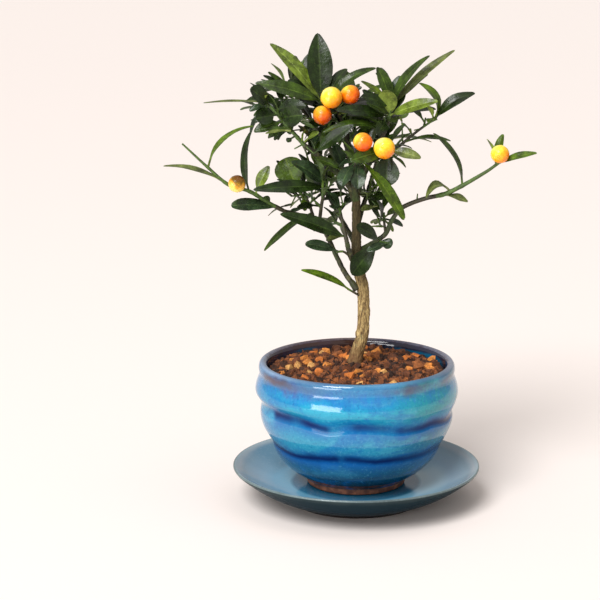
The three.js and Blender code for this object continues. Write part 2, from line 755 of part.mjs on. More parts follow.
// One leaf of a side twig, turned round the twig by its number. The last leaf points along it.
function twigLeaf(twig, number, count, twigTurn, reach, random) {
  const atEnd = number === count - 1;
  const place = atEnd ? growth.endLeafPlace : mix(...growth.leafPlaces, number / count);
  const turn = twigTurn + number * growth.leafTurn * degrees + random();
  const lean = (atEnd ? growth.endLean : growth.sideLean) + 0.3 * random();
  const length = reach * mix(...growth.leafLength, random());
  const face = mix(...growth.leafFace, random());
  const axis = twig.getTangent(place);
  const [square, round] = squareTo(axis);
  const way = axis.clone().addScaledVector(square, lean * Math.cos(turn));
  way.addScaledVector(round, lean * Math.sin(turn)).addScaledVector(up, growth.leafRise).normalize();
  return leafLines(twig.getPoint(place), way.multiplyScalar(length), { face, bow: growth.leafBow });
}

// Side twigs leave the stem turn by turn. What would leave the mass's space or touch anything is skipped.
function growTwigs(name, mass, stem) {
  const twigs = [];
  const leaves = [];
  const { seed, twigs: count, leaves: perTwig, reach } = mass.grow ?? { seed: 1, twigs: 0 };
  const random = seeded(seed);
  const heart = stem.getPointAt(growth.heart);
  for (let i = 0; i < count; i++) {
    const share = mix(growth.firstTwig, 1, (i + 0.5) / count);
    const foot = stem.getPointAt(share);
    const axis = stem.getTangentAt(share);
    const [across, over] = squareTo(axis);
    const turn = i * growth.twigTurn * degrees + random();
    const out = axis.clone().multiplyScalar(growth.twigForward).addScaledVector(up, growth.twigRise);
    out.addScaledVector(across, Math.cos(turn)).addScaledVector(over, Math.sin(turn)).normalize();
    const tip = foot.clone().addScaledVector(out, reach * mix(...growth.twigLength, random()));
    const twig = new THREE.LineCurve3(foot, tip);
    const twigSpots = [0.5, 0.75, 1].map((place) => twig.getPoint(place));
    const grown = [];
    for (let k = 0; k < perTwig; k++) {
      const lines = twigLeaf(twig, k, perTwig, turn, reach, random);
      const spots = leafReach(lines);
      const inSpace = spots.at(-1).distanceTo(heart) < reach * growth.space;
      if (inSpace && isClear(spots, name)) {
        grown.push(lines);
        take(spots, 0, name, true);
      }
    }
    if (grown.length && isClear(twigSpots, name)) {
      twigs.push(twig);
      leaves.push(...grown);
      take(twigSpots, twigRadius, name, false);
    }
  }
  return { twigs, leaves };
}

// The whole tree, limb by limb: everything that shows takes its place first, then the rule fills in.
const trunkCurve = route(trunk.path);
takeLimb(trunkCurve, taper(trunk.radii), 'trunk');
for (const [name, { path, radii }] of Object.entries(boughs)) takeLimb(route(path), taper(radii), name);

const shown = Object.entries(masses).map(([name, mass]) => {
  const stem = route(mass.stem);
  const lastFoot = 1 - leafSeat / stem.getLength();
  takeLimb(stem, taper(mass.radii), name);
  const leaves = mass.leaves.map(([share, reach, details]) =>
    leafLines(stem.getPointAt(Math.min(share, lastFoot)), point(reach), details),
  );
  for (const lines of leaves) take(leafReach(lines), 0, name, true);
  const fruits = (mass.fruits ?? []).map(([share, reach, radius]) => {
    const foot = stem.getPointAt(Math.min(share, lastFoot));
    const middle = foot.clone().add(point(reach));
    take([middle], radius, name, true);
    return { foot, middle, radius };
  });
  return { name, mass, stem, leaves, fruits };
});

// Solids of the tree

const limbSteps = (curve) => Math.max(3, Math.round(curve.getLength() / limbStep));

function fruitSolids({ foot, middle, radius }) {
  const stalk = new THREE.LineCurve3(foot, middle);
  const ball = new THREE.SphereGeometry(radius, 10, 7).rotateX(Math.PI / 2);
  ball.translate(middle.x, middle.y, middle.z);
  return [solidOf(ball), limb(stalk, () => twigRadius, twigSides, 1)];
}

const limbs = []; // { name, solid, guard }: guard is the limb with its seat gap all round
function addLimb(name, curve, radiusAt, sides, steps, neighbours) {
  const guards = neighbours.map((other) => limbs.find((made) => made.name === other).guard);
  const whole = limb(curve, radiusAt, sides, steps);
  const solid = guards.length ? largest(whole.subtract(joined(guards))) : whole;
  limbs.push({ name, solid, guard: limb(curve, radiusAt, sides, steps, seatGap) });
}

addLimb('trunk', trunkCurve, trunkRadius, 12, 24, []);
const ground = new THREE.BoxGeometry(60, 60, 20).translate(0, 0, trunk.foot - 10);
limbs[0].solid = largest(limbs[0].solid.subtract(solidOf(ground)));
for (const [name, { path, radii }] of Object.entries(boughs)) {
  const curve = route(path);
  addLimb(name, curve, taper(radii), limbSides, limbSteps(curve), limbs.map((made) => made.name));
}

const allLimbs = joined(limbs.map((made) => made.guard));
const foliage = shown.map(({ name, mass, stem, leaves, fruits }) => {
  const grown = growTwigs(name, mass, stem);
  const parts = [
    limb(stem, taper(mass.radii), stemSides, limbSteps(stem)),
    ...grown.twigs.map((twig) => limb(twig, taper([twigRadius, twigEndRadius]), twigSides, 1)),
    ...leaves.map((lines) => leafSolid(lines, leafShape.stations)),
    ...grown.leaves.map((lines) => leafSolid(lines, leafShape.plainStations)),
    ...fruits.flatMap(fruitSolids),
  ];
  return { name, solid: largest(joined(parts).subtract(allLimbs)) };
});

// Materials and the finished group

const finish = (color, roughness) => new THREE.MeshStandardMaterial({ color, roughness, metalness: 0 });
const glaze = finish(0x2f93c4, 0.15);
const paleGlaze = finish(0x6f9fb0, 0.2);
const earth = finish(0x5a3420, 0.95);
const bark = finish(0x8c7a55, 0.85);
const greenBark = finish(0x5b6238, 0.75);
const leafGreen = finish(0x2f4d27, 0.4);

const bonsai = new THREE.Group();
function addNode(name, geometry, material) {
  const mesh = new THREE.Mesh(geometry, material);
  mesh.name = name;
  bonsai.add(mesh);
}

addNode('saucer', saucerSolid(), paleGlaze);
addNode('bowl', bowlSolid(), glaze);
addNode('soil', soilSolid(), earth);
for (const { name, solid } of limbs) addNode(name, geometryOf(solid), name === 'trunk' ? bark : greenBark);
for (const { name, solid } of foliage) addNode(name, geometryOf(solid), leafGreen);

export default bonsai;
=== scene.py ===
import math
import bpy
import bmesh
import numpy as np
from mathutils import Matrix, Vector, noise


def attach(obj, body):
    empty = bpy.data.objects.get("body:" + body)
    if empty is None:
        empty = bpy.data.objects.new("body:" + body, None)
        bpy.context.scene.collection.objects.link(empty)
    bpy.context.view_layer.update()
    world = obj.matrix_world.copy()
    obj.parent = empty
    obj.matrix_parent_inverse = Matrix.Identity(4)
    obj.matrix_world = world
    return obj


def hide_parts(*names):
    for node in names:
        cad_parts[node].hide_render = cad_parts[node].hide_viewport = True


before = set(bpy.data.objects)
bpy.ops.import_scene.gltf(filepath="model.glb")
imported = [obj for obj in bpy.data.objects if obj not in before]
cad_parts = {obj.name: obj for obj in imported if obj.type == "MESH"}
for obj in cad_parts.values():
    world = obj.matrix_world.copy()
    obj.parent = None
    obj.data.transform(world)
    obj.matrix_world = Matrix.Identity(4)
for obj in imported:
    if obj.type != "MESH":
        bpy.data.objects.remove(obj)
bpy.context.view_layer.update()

mm = 0.001  # the frame and the view are in metres, the tables of the plant and its pots in millimetres
degrees = math.pi / 180
weld = 1e-6  # metres
up = np.array([0.0, 0.0, 1.0])
toViewer = np.array([0.0, -1.0, 0.0])


def tint(red, green, blue):  # a colour as it is seen on screen, 0 to 255, to linear
    seen = [value / 255 for value in (red, green, blue)]
    return [v / 12.92 if v <= 0.04045 else ((v + 0.055) / 1.055) ** 2.4 for v in seen] + [1.0]


def shaded(colour, factor, lift=0):
    return tuple(min(255, value * factor + lift) for value in colour)


def mix(a, b, share):
    return a + (b - a) * share


def seeded(seed):
    state = seed

    def draw():
        nonlocal state
        state = state * 48271 % 2147483647
        return state / 2147483647
    return draw


# Camera and lights

view = dict(
    place=(-0.0328, -1.2667, 0.4121), tilt=77, lens=135.66, farthest=60,
    skyTint=(255, 249, 245), sky=0.46, floorSize=14, floorTint=(249, 240, 235),
    sun=dict(tilt=(38, -24, 0), strength=2.64, softness=30),
    aim=(0, 0, 0.12),
    lamps=dict(  # place, width and height, power
        key=((-0.75, -1.1, 1.2), (0.3, 0.3), 1.5),
        window=((-0.85, -1.2, 0.24), (0.85, 0.46), 9.2),
        top=((0.25, -0.1, 1.5), (0.6, 0.6), 1),
    ),
)


def addObject(name, data):
    thing = bpy.data.objects.new(name, data)
    bpy.context.collection.objects.link(thing)
    return thing


camera = addObject('camera', bpy.data.cameras.new('camera'))
camera.data.lens = view['lens']
camera.data.clip_end = view['farthest']
camera.location = view['place']
camera.rotation_euler = (view['tilt'] * degrees, 0, 0)
bpy.context.scene.camera = camera
sun = addObject('sun', bpy.data.lights.new('sun', 'SUN'))
sun.data.energy = view['sun']['strength']
sun.data.angle = view['sun']['softness'] * degrees
sun.rotation_euler = [angle * degrees for angle in view['sun']['tilt']]
for name, (place, size, power) in view['lamps'].items():
    lamp = addObject(name, bpy.data.lights.new(name, 'AREA'))
    lamp.data.shape = 'RECTANGLE'
    lamp.data.size, lamp.data.size_y = size
    lamp.data.energy = power
    lamp.location = place
    lamp.rotation_euler = (Vector(view['aim']) - lamp.location).to_track_quat('-Z', 'Y').to_euler()

world = bpy.data.worlds.new('paleRoom')
world.use_nodes = True
sky = world.node_tree.nodes['Background'].inputs
sky['Color'].default_value = tint(*view['skyTint'])
sky['Strength'].default_value = view['sky']
bpy.context.scene.world = world
bpy.context.scene.view_settings.view_transform = 'Standard'


# Materials

class Paint:  # one Principled material with short ways to add its nodes
    def __init__(self, name, base, roughness=0.5, **sockets):
        self.material = bpy.data.materials.new(name)
        self.material.use_nodes = True
        self.nodes, self.links = self.material.node_tree.nodes, self.material.node_tree.links
        self.shader = self.nodes['Principled BSDF'].inputs
        self.shader['Base Color'].default_value = tint(*base)
        self.shader['Roughness'].default_value = roughness
        for socket, value in sockets.items():
            self.shader[socket.replace('_', ' ')].default_value = value
        self.place = self.add('ShaderNodeTexCoord', 'Object')
        self.around = None

    def add(self, kind, output, inputs=None, **settings):  # adds a node and gives one of its outputs
        node = self.nodes.new(kind)
        for setting, value in settings.items():
            setattr(node, setting, value)
        for socket, value in (inputs or {}).items():
            if isinstance(value, bpy.types.NodeSocket):
                self.links.new(value, node.inputs[socket])
            else:
                node.inputs[socket].default_value = value
        return node.outputs[output]

    def stretched(self, *scale):
        return self.add('ShaderNodeMapping', 'Vector', {'Vector': self.place, 'Scale': scale})

    def grain(self, scale=1, detail=3, rough=0.55, stretch=None, warp=0):
        place = self.stretched(*stretch) if stretch else self.place
        return self.add('ShaderNodeTexNoise', 'Fac', {
            'Vector': place, 'Scale': scale, 'Detail': detail, 'Roughness': rough, 'Distortion': warp,
        })

    def attribute(self, name):
        return self.add('ShaderNodeAttribute', 'Fac', attribute_name=name)

    def axis(self, letter):
        return self.add('ShaderNodeSeparateXYZ', letter, {0: self.place})

    def away(self):  # metres from the upright line through the middle
        return self.add('ShaderNodeVectorMath', 'Value', {0: self.stretched(1, 1, 0)}, operation='LENGTH')

    def maths(self, kind, a, b=0.0):
        return self.add('ShaderNodeMath', 0, {0: a, 1: b}, operation=kind)

    def plus(self, a, b):
        return self.maths('ADD', a, b)

    def times(self, value, *factors):
        for factor in factors:
            value = self.maths('MULTIPLY', value, factor)
        return value

    def sway(self, value, reach):  # 0 to 1 becomes half the reach down to half the reach up
        return self.times(self.maths('SUBTRACT', value, 0.5), reach)

    def spread(self, value, low, high, start=0.0, end=1.0):  # low..high becomes start..end, eased
        return self.add('ShaderNodeMapRange', 'Result', {
            'Value': value, 'From Min': low, 'From Max': high, 'To Min': start, 'To Max': end,
        }, interpolation_type='SMOOTHSTEP')

    def band(self, value, centre, width):  # 1 at the centre, 0 at the width away from it
        return self.spread(self.maths('ABSOLUTE', self.maths('SUBTRACT', value, centre)), 0, width, 1, 0)

    def between(self, value, rise, fall):
        return self.times(self.spread(value, *rise), self.spread(value, *fall))

    def ramp(self, value, stops, easing='LINEAR'):  # along a value, the colours or the shares at its stops
        result = self.add('ShaderNodeValToRGB', 'Color', {'Fac': value})
        result.node.color_ramp.interpolation = easing
        points = result.node.color_ramp.elements
        points[0].position, points[1].position = stops[0][0], stops[-1][0]
        for position, tone in stops[1:-1]:
            points.new(position)
        for point, (position, tone) in zip(points, stops):
            point.color = tint(*tone) if isinstance(tone, tuple) else [tone] * 3 + [1]
        return result

    def byTurn(self, pairs, easing='EASE'):  # a ramp along degrees from the front, more towards the right
        if not self.around:
            right = self.maths('ARCTAN2', self.axis('X'), self.times(self.axis('Y'), -1))
            self.around = self.plus(self.times(right, 0.5 / math.pi), 0.5)
        return self.ramp(self.around, [(0.5 + angle / 360, value) for angle, value in pairs], easing)

    def mixed(self, share, under, over):
        tones = [tint(*tone) if isinstance(tone, tuple) else tone for tone in (under, over)]
        return self.add('ShaderNodeMix', 2, {0: share, 6: tones[0], 7: tones[1]}, data_type='RGBA')

    def colour(self, tone):
        self.tone = tone
        self.links.new(tone, self.shader['Base Color'])

    def lay(self, tone, *shares):  # over the colour so far, as much as the shares' product says
        self.colour(self.mixed(self.times(*shares), self.tone, tone))

    def gloss(self, value, low, high):
        self.links.new(self.spread(value, 0.3, 0.7, low, high), self.shader['Roughness'])

    def relief(self, height, depth, strength=1.0):  # depth in millimetres
        inputs = {'Height': height, 'Distance': depth * mm, 'Strength': strength}
        self.links.new(self.add('ShaderNodeBump', 'Normal', inputs), self.shader['Normal'])


def mottled(name, base, roughness, scale, rough, shades, **sockets):  # shades: where, how light, lift
    paint = Paint(name, base, roughness, **sockets)
    tones = [(place, shaded(base, *shade)) for place, *shade in shades]
    paint.colour(paint.ramp(paint.grain(scale, detail=4, rough=rough), tones))
    return paint


def meshOf(bm, name):
    mesh = bpy.data.meshes.new(name)
    bm.to_mesh(mesh)
    bm.free()
    return mesh


def placePiece(mesh, paints, slotName, *nodes, levels=0):
    for paint in paints:
        mesh.materials.append(paint.material)
    mesh.polygons.foreach_set('use_smooth', [True] * len(mesh.polygons))
    piece = addObject(mesh.name, mesh)
    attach(piece, 'root')
    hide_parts(*nodes)
    if levels:
        soft = piece.modifiers.new('soften', 'SUBSURF')
        soft.levels = soft.render_levels = levels


floorGrid = bmesh.new()
bmesh.ops.create_grid(floorGrid, x_segments=2, y_segments=2, size=view['floorSize'] / 2)
floor = addObject('floor', meshOf(floorGrid, 'floor'))
floor.data.materials.append(Paint('paleFloor', view['floorTint'], 0.75, Specular_IOR_Level=0.2).material)
print('camera, lights and floor set')


# Saucer and bowl, thrown on the wheel: a profile spun round the middle

def throwPot(profile, segments, closed):
    bm = bmesh.new()
    line = [bm.verts.new((radius * mm, 0, height * mm)) for radius, height in profile]
    edges = [bm.edges.new(pair) for pair in zip(line, line[1:])]
    if closed:
        edges.append(bm.edges.new((line[-1], line[0])))
    bmesh.ops.spin(bm, geom=line + edges, cent=(0, 0, 0), axis=(0, 0, 1),
                   angle=2 * math.pi, steps=segments, use_merge=True, use_duplicate=False)
    bmesh.ops.remove_doubles(bm, verts=bm.verts, dist=weld)
    bmesh.ops.recalc_face_normals(bm, faces=bm.faces)
    return bm


saucer = dict(
    segments=64, levels=2, washEnd=0.075, steepest=0.12,
    profile=[  # the underside, the rim and the inside
        (0, 0), (20, 0), (36, 0), (37.6, 0.15), (38.4, 1), (41, 2.6), (55.1, 7.92), (66, 15.6), (71.4, 19.9),
        (72.1, 21), (71.9, 21.7), (71.2, 22), (70.2, 21.6),
        (65.8, 18.4), (56.6, 14), (47.2, 11.4), (41, 10.75), (30, 10.7), (0, 10.7),
    ],
    # partly the glaze's own colour, partly painted reflection: the walls lighter for the pale room they
    # mirror, the floor darker where the bowl is mirrored, the pale band inside the rim partly a painted
    # highlight
    washAndReflection=[  # from the middle outwards
        (0.0, (34, 108, 144)), (0.498, (36, 112, 148)), (0.514, (74, 144, 176)), (0.53, (108, 172, 202)),
        (0.65, (108, 170, 202)), (0.73, (128, 172, 198)), (0.8, (130, 166, 188)), (0.85, (130, 163, 182)),
        (0.89, (130, 157, 172)), (0.925, (160, 172, 180)), (0.955, (152, 172, 180)), (0.965, (106, 124, 126)),
        (0.98, (60, 72, 74)),
    ],
    wall=[(0.046, 0.052), (0.071, 0.068)],  # metres from the middle
    lowWall=[(0.038, 0.0405), (0.058, 0.05)],
    back=[(-180, 0.8), (-150, 0.8), (-124, 0.85), (-106, 0.35), (-94, 0), (120, 0), (180, 0.8)],
    right=[(-180, 0), (40, 0), (66, 0.55), (108, 0.8), (130, 0), (180, 0)],
    # the glazed underside is painted darker than its glaze, a painted reflection of a dark table below; the
    # bare clay foot ring at the bottom is its own colour
    under=[  # metres up from the table
        (0.0, (70, 48, 36)), (0.0028, (60, 42, 34)), (0.0042, (16, 30, 38)), (0.012, (20, 39, 49)),
        (0.02, (26, 44, 52)), (0.0235, (58, 70, 72)),
    ],
)


def saucerPaint():
    paint = Paint('saucerGlaze', (100, 140, 165), 0.1)
    away = paint.plus(paint.away(), paint.times(paint.grain(38, detail=4, rough=0.6, warp=0.4), 0.002))
    paint.colour(paint.ramp(paint.times(away, 1 / saucer['washEnd']), saucer['washAndReflection']))
    # painted shade: the wall at the back left is darkened, as if in the bowl's shadow
    paint.lay((84, 132, 158), paint.byTurn(saucer['back']), paint.between(away, *saucer['wall']))
    # painted light: the lower wall on the right is lightened where the bowl's shadow falls on it
    paint.lay((168, 206, 220), paint.byTurn(saucer['right']), paint.between(away, *saucer['lowWall']))
    paint.lay((168, 190, 202), paint.spread(paint.grain(700, detail=2, rough=0.7), 0.5, 0.8, end=0.2))
    paint.relief(paint.grain(120, detail=2), depth=0.05)
    return paint


def saucerUnderPaint():
    paint = Paint('saucerUnderGlaze', (44, 70, 84), 0.22, IOR=1.06, Specular_IOR_Level=0.2)
    height = paint.plus(paint.axis('Z'), paint.times(paint.grain(60, detail=4), 0.004))
    paint.colour(paint.ramp(height, saucer['under']))
    return paint


saucerShape = throwPot(saucer['profile'], saucer['segments'], False)
for face in saucerShape.faces:
    face.material_index = 1 if face.normal.z < saucer['steepest'] else 0
saucerMesh = meshOf(saucerShape, 'glazed_saucer')
saucerPaints = [saucerPaint(), saucerUnderPaint()]
placePiece(saucerMesh, saucerPaints, 'saucer_glaze', 'saucer', levels=saucer['levels'])
print('saucer thrown')

bowl = dict(
    base=11, segments=90, levels=2, footHeight=4.2, rimHeight=73,
    outside=[
        (27.8, 0), (28.6, 0.9), (29.1, 4.2), (33, 6.4), (39, 10.2), (44.4, 15.4), (47.4, 20.4),
        (48.7, 24.2), (49.3, 27.2), (51.5, 29.8), (54.2, 34.6), (55.9, 40), (55.9, 44),
        (54.8, 47.6), (56.4, 50.6), (58.3, 53.4), (58.9, 56.4), (58.5, 59.4), (57.5, 62.4), (56.5, 65),
        (56.3, 66.6), (56.9, 68.6), (56.8, 71), (55.7, 72.6), (54.1, 73), (52.2, 72.2),
    ],
    inside=[(51.3, 69.6), (51.3, 64), (50.6, 50), (48, 36), (43, 22), (34.5, 12), (22, 6.8), (5, 6.4)],
    footInside=[(5, 3), (23.2, 3), (23.8, 0)],
    skin=1.2, wallLeast=2.5, insideTop=72.1,
    lipTop=[(55, 72.5, 0.35), (53, 69, 1)],  # within this radius, above this height, how dark its edge is
    # how each groove wanders and how dark its line is: degrees from the front towards the right, and
    # millimetres up or a share
    grooves=[
        dict(
            height=27.3, spread=5, line=3.4,
            path=[
                (-180, 0), (-110, 0.6), (-69, 0.7), (-46, -1.3), (-15, 0.7), (-4, 0.7), (9, -0.8), (62, -0.3),
                (86, -1.9), (130, 0), (180, 0),
            ],
            dark=[
                (-180, 0.7), (-70, 1), (-15, 1), (-11, 0.5), (-7, 0.9), (18, 1), (40, 0.8), (70, 0.7),
                (180, 0.7),
            ],
        ),
        dict(
            height=47.8, spread=6, line=3.8,
            path=[
                (-180, 0), (-100, 1.5), (-56, 2.2), (-37, 2.2), (-18, -1.8), (-6, 0.9), (3, 1.1), (14, -0.3),
                (24, -2.9), (40, -3.2), (49, -1.9), (66, -4.6), (100, -2), (140, 1), (180, 0),
            ],
            dark=[
                (-180, 0.6), (-75, 0.1), (-61, 0.1), (-56, 1), (-46, 0.9), (-40, 0.6), (-30, 1), (-20, 0.85),
                (-15, 0.15), (-8, 0.25), (0, 0.75), (14, 0.5), (19, 0.25), (26, 0.7), (45, 0.9), (60, 1),
                (72, 1), (85, 0.4), (180, 0.6),
            ],
        ),
    ],
)


def grooveDrift(angle, height):
    fromFront = (math.degrees(angle) + 90 + 180) % 360 - 180
    drift = 0
    for groove in bowl['grooves']:
        near = math.exp(-(((height - groove['height']) / groove['spread']) ** 2))
        drift += near * np.interp(fromFront, *zip(*groove['path']))
    return drift


def glaze(name, base, shine):
    paint = Paint(name, base, 0.08, IOR=1.58, Specular_IOR_Level=shine)
    paint.relief(paint.grain(110, warp=0.3), depth=0.14)
    return paint


glazeLook = dict(
    shine=0.5, pooledShine=0.12,
    pooledRows=[(24, 30), (43.9, 53.6)],  # heights of the faces in and under the grooves
    bands=[
        (0, (104, 64, 48)), (4.0, (104, 66, 50)), (5.2, (6, 18, 30)), (9, (2, 24, 44)), (14, (3, 51, 86)),
        (19, (8, 83, 121)), (24, (9, 78, 121)), (28.5, (20, 99, 139)), (32, (36, 132, 164)),
        (38, (39, 139, 168)), (44, (33, 126, 162)), (48, (27, 112, 153)), (52, (30, 145, 175)),
        (57, (26, 153, 179)), (61, (18, 138, 184)), (65, (22, 124, 178)), (69, (44, 122, 166)),
        (73, (58, 114, 157)),
    ],
    lavender=(22, 116, 164), teal=(28, 138, 138), rightShadeTeal=(8, 74, 96), pale=(88, 180, 204),
    strong=(10, 96, 164), lightSpeckle=(110, 186, 214), darkSpeckle=(14, 66, 132),
    groove=(2, 30, 82), grooveFog=(14, 84, 154), runs=(34, 112, 188),
    plum=(92, 74, 116), umber=(76, 52, 56), edge=(62, 44, 60),
    # round the bowl: degrees from the front, share
    left=[(-180, 0), (-110, 0.3), (-80, 0.9), (-62, 0.75), (-40, 0.12), (180, 0)],
    right=[(-180, 0.3), (-90, 0), (12, 0), (38, 0.65), (52, 0.7), (66, 0.4), (90, 0.2), (180, 0.3)],
    patches=[
        (-180, 1), (-50, 1), (-34, 0.45), (-14, 0.2), (12, 0.25), (22, 0.9), (34, 0.9), (46, 0.4), (180, 1),
    ],
    brownLip=[
        (-180, 0.9), (-130, 0.8), (-95, 0.3), (-75, 0.2), (-66, 0.95), (-50, 0.9), (-36, 0.3), (-5, 0),
        (22, 0.1), (30, 0.7), (38, 0.5), (50, 0.1), (62, 0.6), (100, 0.5), (150, 0.8), (180, 0.9),
    ],
    lip=[
        (-180, (150, 125, 100)), (-160, (104, 68, 48)), (-140, (112, 86, 78)), (-120, (132, 116, 114)),
        (-98, (150, 160, 178)), (-78, (146, 162, 190)), (-58, (138, 160, 190)), (-38, (104, 132, 158)),
        (-20, (78, 108, 146)), (0, (84, 136, 168)), (20, (84, 146, 186)), (40, (68, 108, 150)),
        (60, (104, 108, 128)), (80, (156, 154, 166)), (100, (156, 152, 166)), (120, (124, 118, 130)),
        (140, (106, 96, 112)), (160, (98, 88, 108)), (180, (150, 125, 100)),
    ],
)


def bowlPaint(name, shine):  # streaked bands of glaze, dark where it pools in the grooves
    look, top = glazeLook, bowl['rimHeight']
    paint = glaze(name, (80, 160, 205), shine)
    height = paint.attribute('bandHeight')
    cloud = paint.grain(detail=4, rough=0.62, stretch=(26, 26, 70), warp=0.4)
    fine = paint.grain(detail=4, rough=0.7, stretch=(160, 160, 240), warp=0.3)
    ragged = paint.plus(paint.sway(cloud, 9), paint.sway(fine, 5))
    wavy = paint.plus(height, ragged)
    bands = [(level / top, tone) for level, tone in look['bands']]
    paint.colour(paint.ramp(paint.times(wavy, 1 / top), bands))
    right = paint.byTurn(look['right'])
    paint.lay(look['lavender'], paint.byTurn(look['left']), paint.spread(wavy, 27, 33))
    paint.lay(look['teal'], right, paint.spread(wavy, 49, 54))
    # painted shade: a darker teal on the right side of the bowl, below the upper groove
    paint.lay(look['rightShadeTeal'], right, paint.spread(wavy, 50, 45, end=0.7))
    paint.lay(look['pale'], paint.spread(cloud, 0.54, 0.7, end=0.5), paint.spread(height, 12, 34, start=0.15))
    pools = paint.grain(rough=0.6, stretch=(34, 34, 52), warp=1.4)
    paint.lay(look['strong'], paint.spread(pools, 0.5, 0.32, end=0.55))
    speckle = paint.grain(620, rough=0.75)
    paint.lay(look['lightSpeckle'], paint.spread(speckle, 0.53, 0.72, end=0.22))
    paint.lay(look['darkSpeckle'], paint.spread(speckle, 0.47, 0.3, end=0.45))
    soft = paint.plus(height, paint.times(ragged, 0.3))
    for groove in bowl['grooves']:
        strength = paint.byTurn(groove['dark'])
        fog = paint.band(soft, groove['height'] - 1.5, groove['line'] * 2.4)
        paint.lay(look['grooveFog'], fog, strength, 0.75)
        paint.lay(look['groove'], paint.band(soft, groove['height'] - 0.3, groove['line']), strength)
    runs = paint.grain(rough=0.6, stretch=(700, 700, 60))
    paint.lay(look['runs'], paint.band(height, 64, 8), paint.spread(runs, 0.42, 0.7, end=0.5))
    patches = paint.spread(paint.grain(24, detail=4, rough=0.65), 0.5, 0.64, end=0.7)
    paint.lay(look['plum'], paint.band(wavy, 66, 8), patches, paint.byTurn(look['patches']))
    paint.lay(look['umber'], paint.band(wavy, 69, 6), paint.byTurn(look['brownLip']), 0.95)
    nearTop = paint.spread(paint.plus(height, paint.times(ragged, 0.25)), 70.4, 72.8, end=0.72)
    paint.lay(paint.byTurn(look['lip'], 'LINEAR'), nearTop)
    paint.lay(look['edge'], paint.attribute('lipTop'), paint.spread(fine, 0.35, 0.6, start=1, end=0.45))
    return paint


innerLook = dict(
    tones=[
        (0.3, (50, 38, 36)), (0.46, (44, 40, 58)), (0.56, (42, 52, 100)), (0.66, (30, 84, 118)),
        (0.8, (52, 118, 146)),
    ],
    brown=[(-180, 0.8), (-150, 0.85), (-120, 0.5), (-60, 0), (120, 0), (150, 0.2), (180, 0.8)],
    plum=[(-180, 0), (80, 0), (105, 0.8), (160, 0.8), (172, 0.3), (180, 0)],
    blue=[
        (-180, 0), (-158, 0.1), (-146, 0.7), (-132, 0.1), (96, 0), (112, 0.95), (146, 0.9), (156, 0.1),
        (180, 0),
    ],
)


def innerPaint():
    paint = glaze('innerGlaze', (52, 60, 96), glazeLook['shine'])
    paint.colour(paint.ramp(paint.grain(26, detail=4, rough=0.6, warp=1.0), innerLook['tones']))
    paint.lay((66, 42, 32), paint.byTurn(innerLook['brown']))
    paint.lay((32, 34, 54), paint.byTurn(innerLook['plum']))
    height = paint.plus(paint.attribute('bandHeight'), paint.times(paint.grain(60), 3))
    paint.lay((10, 96, 132), paint.byTurn(innerLook['blue']), paint.spread(height, 71.9, 70.4))
    return paint


def footPaint():
    paint = Paint('footClay', (140, 84, 62), 0.6)
    share = paint.spread(paint.grain(160, detail=4), 0.4, 0.7)
    paint.colour(paint.mixed(share, (104, 62, 46), (176, 110, 80)))
    paint.relief(paint.grain(900), depth=0.1)
    return paint


bowlShape = throwPot(bowl['outside'] + bowl['inside'] + bowl['footInside'], bowl['segments'], True)
bandHeight = bowlShape.verts.layers.float.new('bandHeight')
lipTop = bowlShape.verts.layers.float.new('lipTop')
outRadius, outHeight = zip(*bowl['outside'][:-1])
for vert in bowlShape.verts:
    radius, height = math.hypot(vert.co.x, vert.co.y) / mm, vert.co.z / mm
    vert[bandHeight] = height
    for within, above, share in bowl['lipTop']:
        if radius < within and height > above:
            vert[lipTop] = share
    if radius > np.interp(height, outHeight, outRadius) - bowl['skin']:
        vert.co.z += grooveDrift(math.atan2(vert.co.y, vert.co.x), height) * mm
    vert.co.z += bowl['base'] * mm
for face in bowlShape.faces:
    heights = [vert[bandHeight] for vert in face.verts]
    lowest, highest = min(heights), max(heights)
    radius = math.hypot(*face.calc_center_median()[:2]) / mm
    if highest <= bowl['footHeight'] + 0.1:
        face.material_index = 2
    elif radius < np.interp(lowest, outHeight, outRadius) - bowl['wallLeast'] and lowest < bowl['insideTop']:
        face.material_index = 1
    elif any(low < lowest and highest < high for low, high in glazeLook['pooledRows']):
        face.material_index = 3
bowlPaints = [bowlPaint('bowlGlaze', glazeLook['shine']), innerPaint(), footPaint(),
              bowlPaint('pooledGlaze', glazeLook['pooledShine'])]
placePiece(meshOf(bowlShape, 'glazed_bowl'), bowlPaints, 'bowl_glaze', 'bowl', levels=bowl['levels'])
print('bowl thrown')


# Soil: a packed bed with loose grains on top

soil = dict(
    edge=50.9, edgeHeight=77.9, crownHeight=80.7, flatRadius=9.5, heap=0.8, gap=0.4,
    bedRings=44, bedTurns=120, rough=0.55, lumps=420, pits=1100, pitShare=0.5, smoothBelow=77.4, crease=32,
    grains=dict(count=100, seed=47, size=(2, 3.3), raised=0.25, lumps=0.14, paints=(3, 4, 0, 6, 2, 3, 5, 0)),
    crumbs=dict(
        count=2100, seed=7, size=(0.9, 2.3), sunk=(-0.45, 0.15), lumps=0.3, paints=(0, 0, 1, 1, 7, 2, 2, 6),
    ),
    collar=dict(count=34, middle=-1.2, radius=(5.3, 7.2), size=(1.3, 2.2), raised=0.5),
    trunk=dict(middle=-1, radius=3.2),  # no crumbs inside it
    tints=[
        (100, 56, 31), (66, 37, 22), (124, 72, 38), (208, 132, 60), (190, 108, 44), (212, 158, 92),
        (148, 86, 42), (48, 27, 17),
    ],
)


def soilHeight(radius):
    share = min(max((soil['edge'] - radius) / (soil['edge'] - soil['flatRadius']), 0), 1)
    return mix(soil['edgeHeight'], soil['crownHeight'], share ** soil['heap'])


def clay(name, base):
    paint = mottled(name, base, 0.85, 520, 0.7, [(0.3, 0.62), (0.5, 1), (0.75, 1.22)])
    paint.relief(paint.grain(1300, detail=4, rough=0.7), depth=0.25, strength=0.7)
    return paint


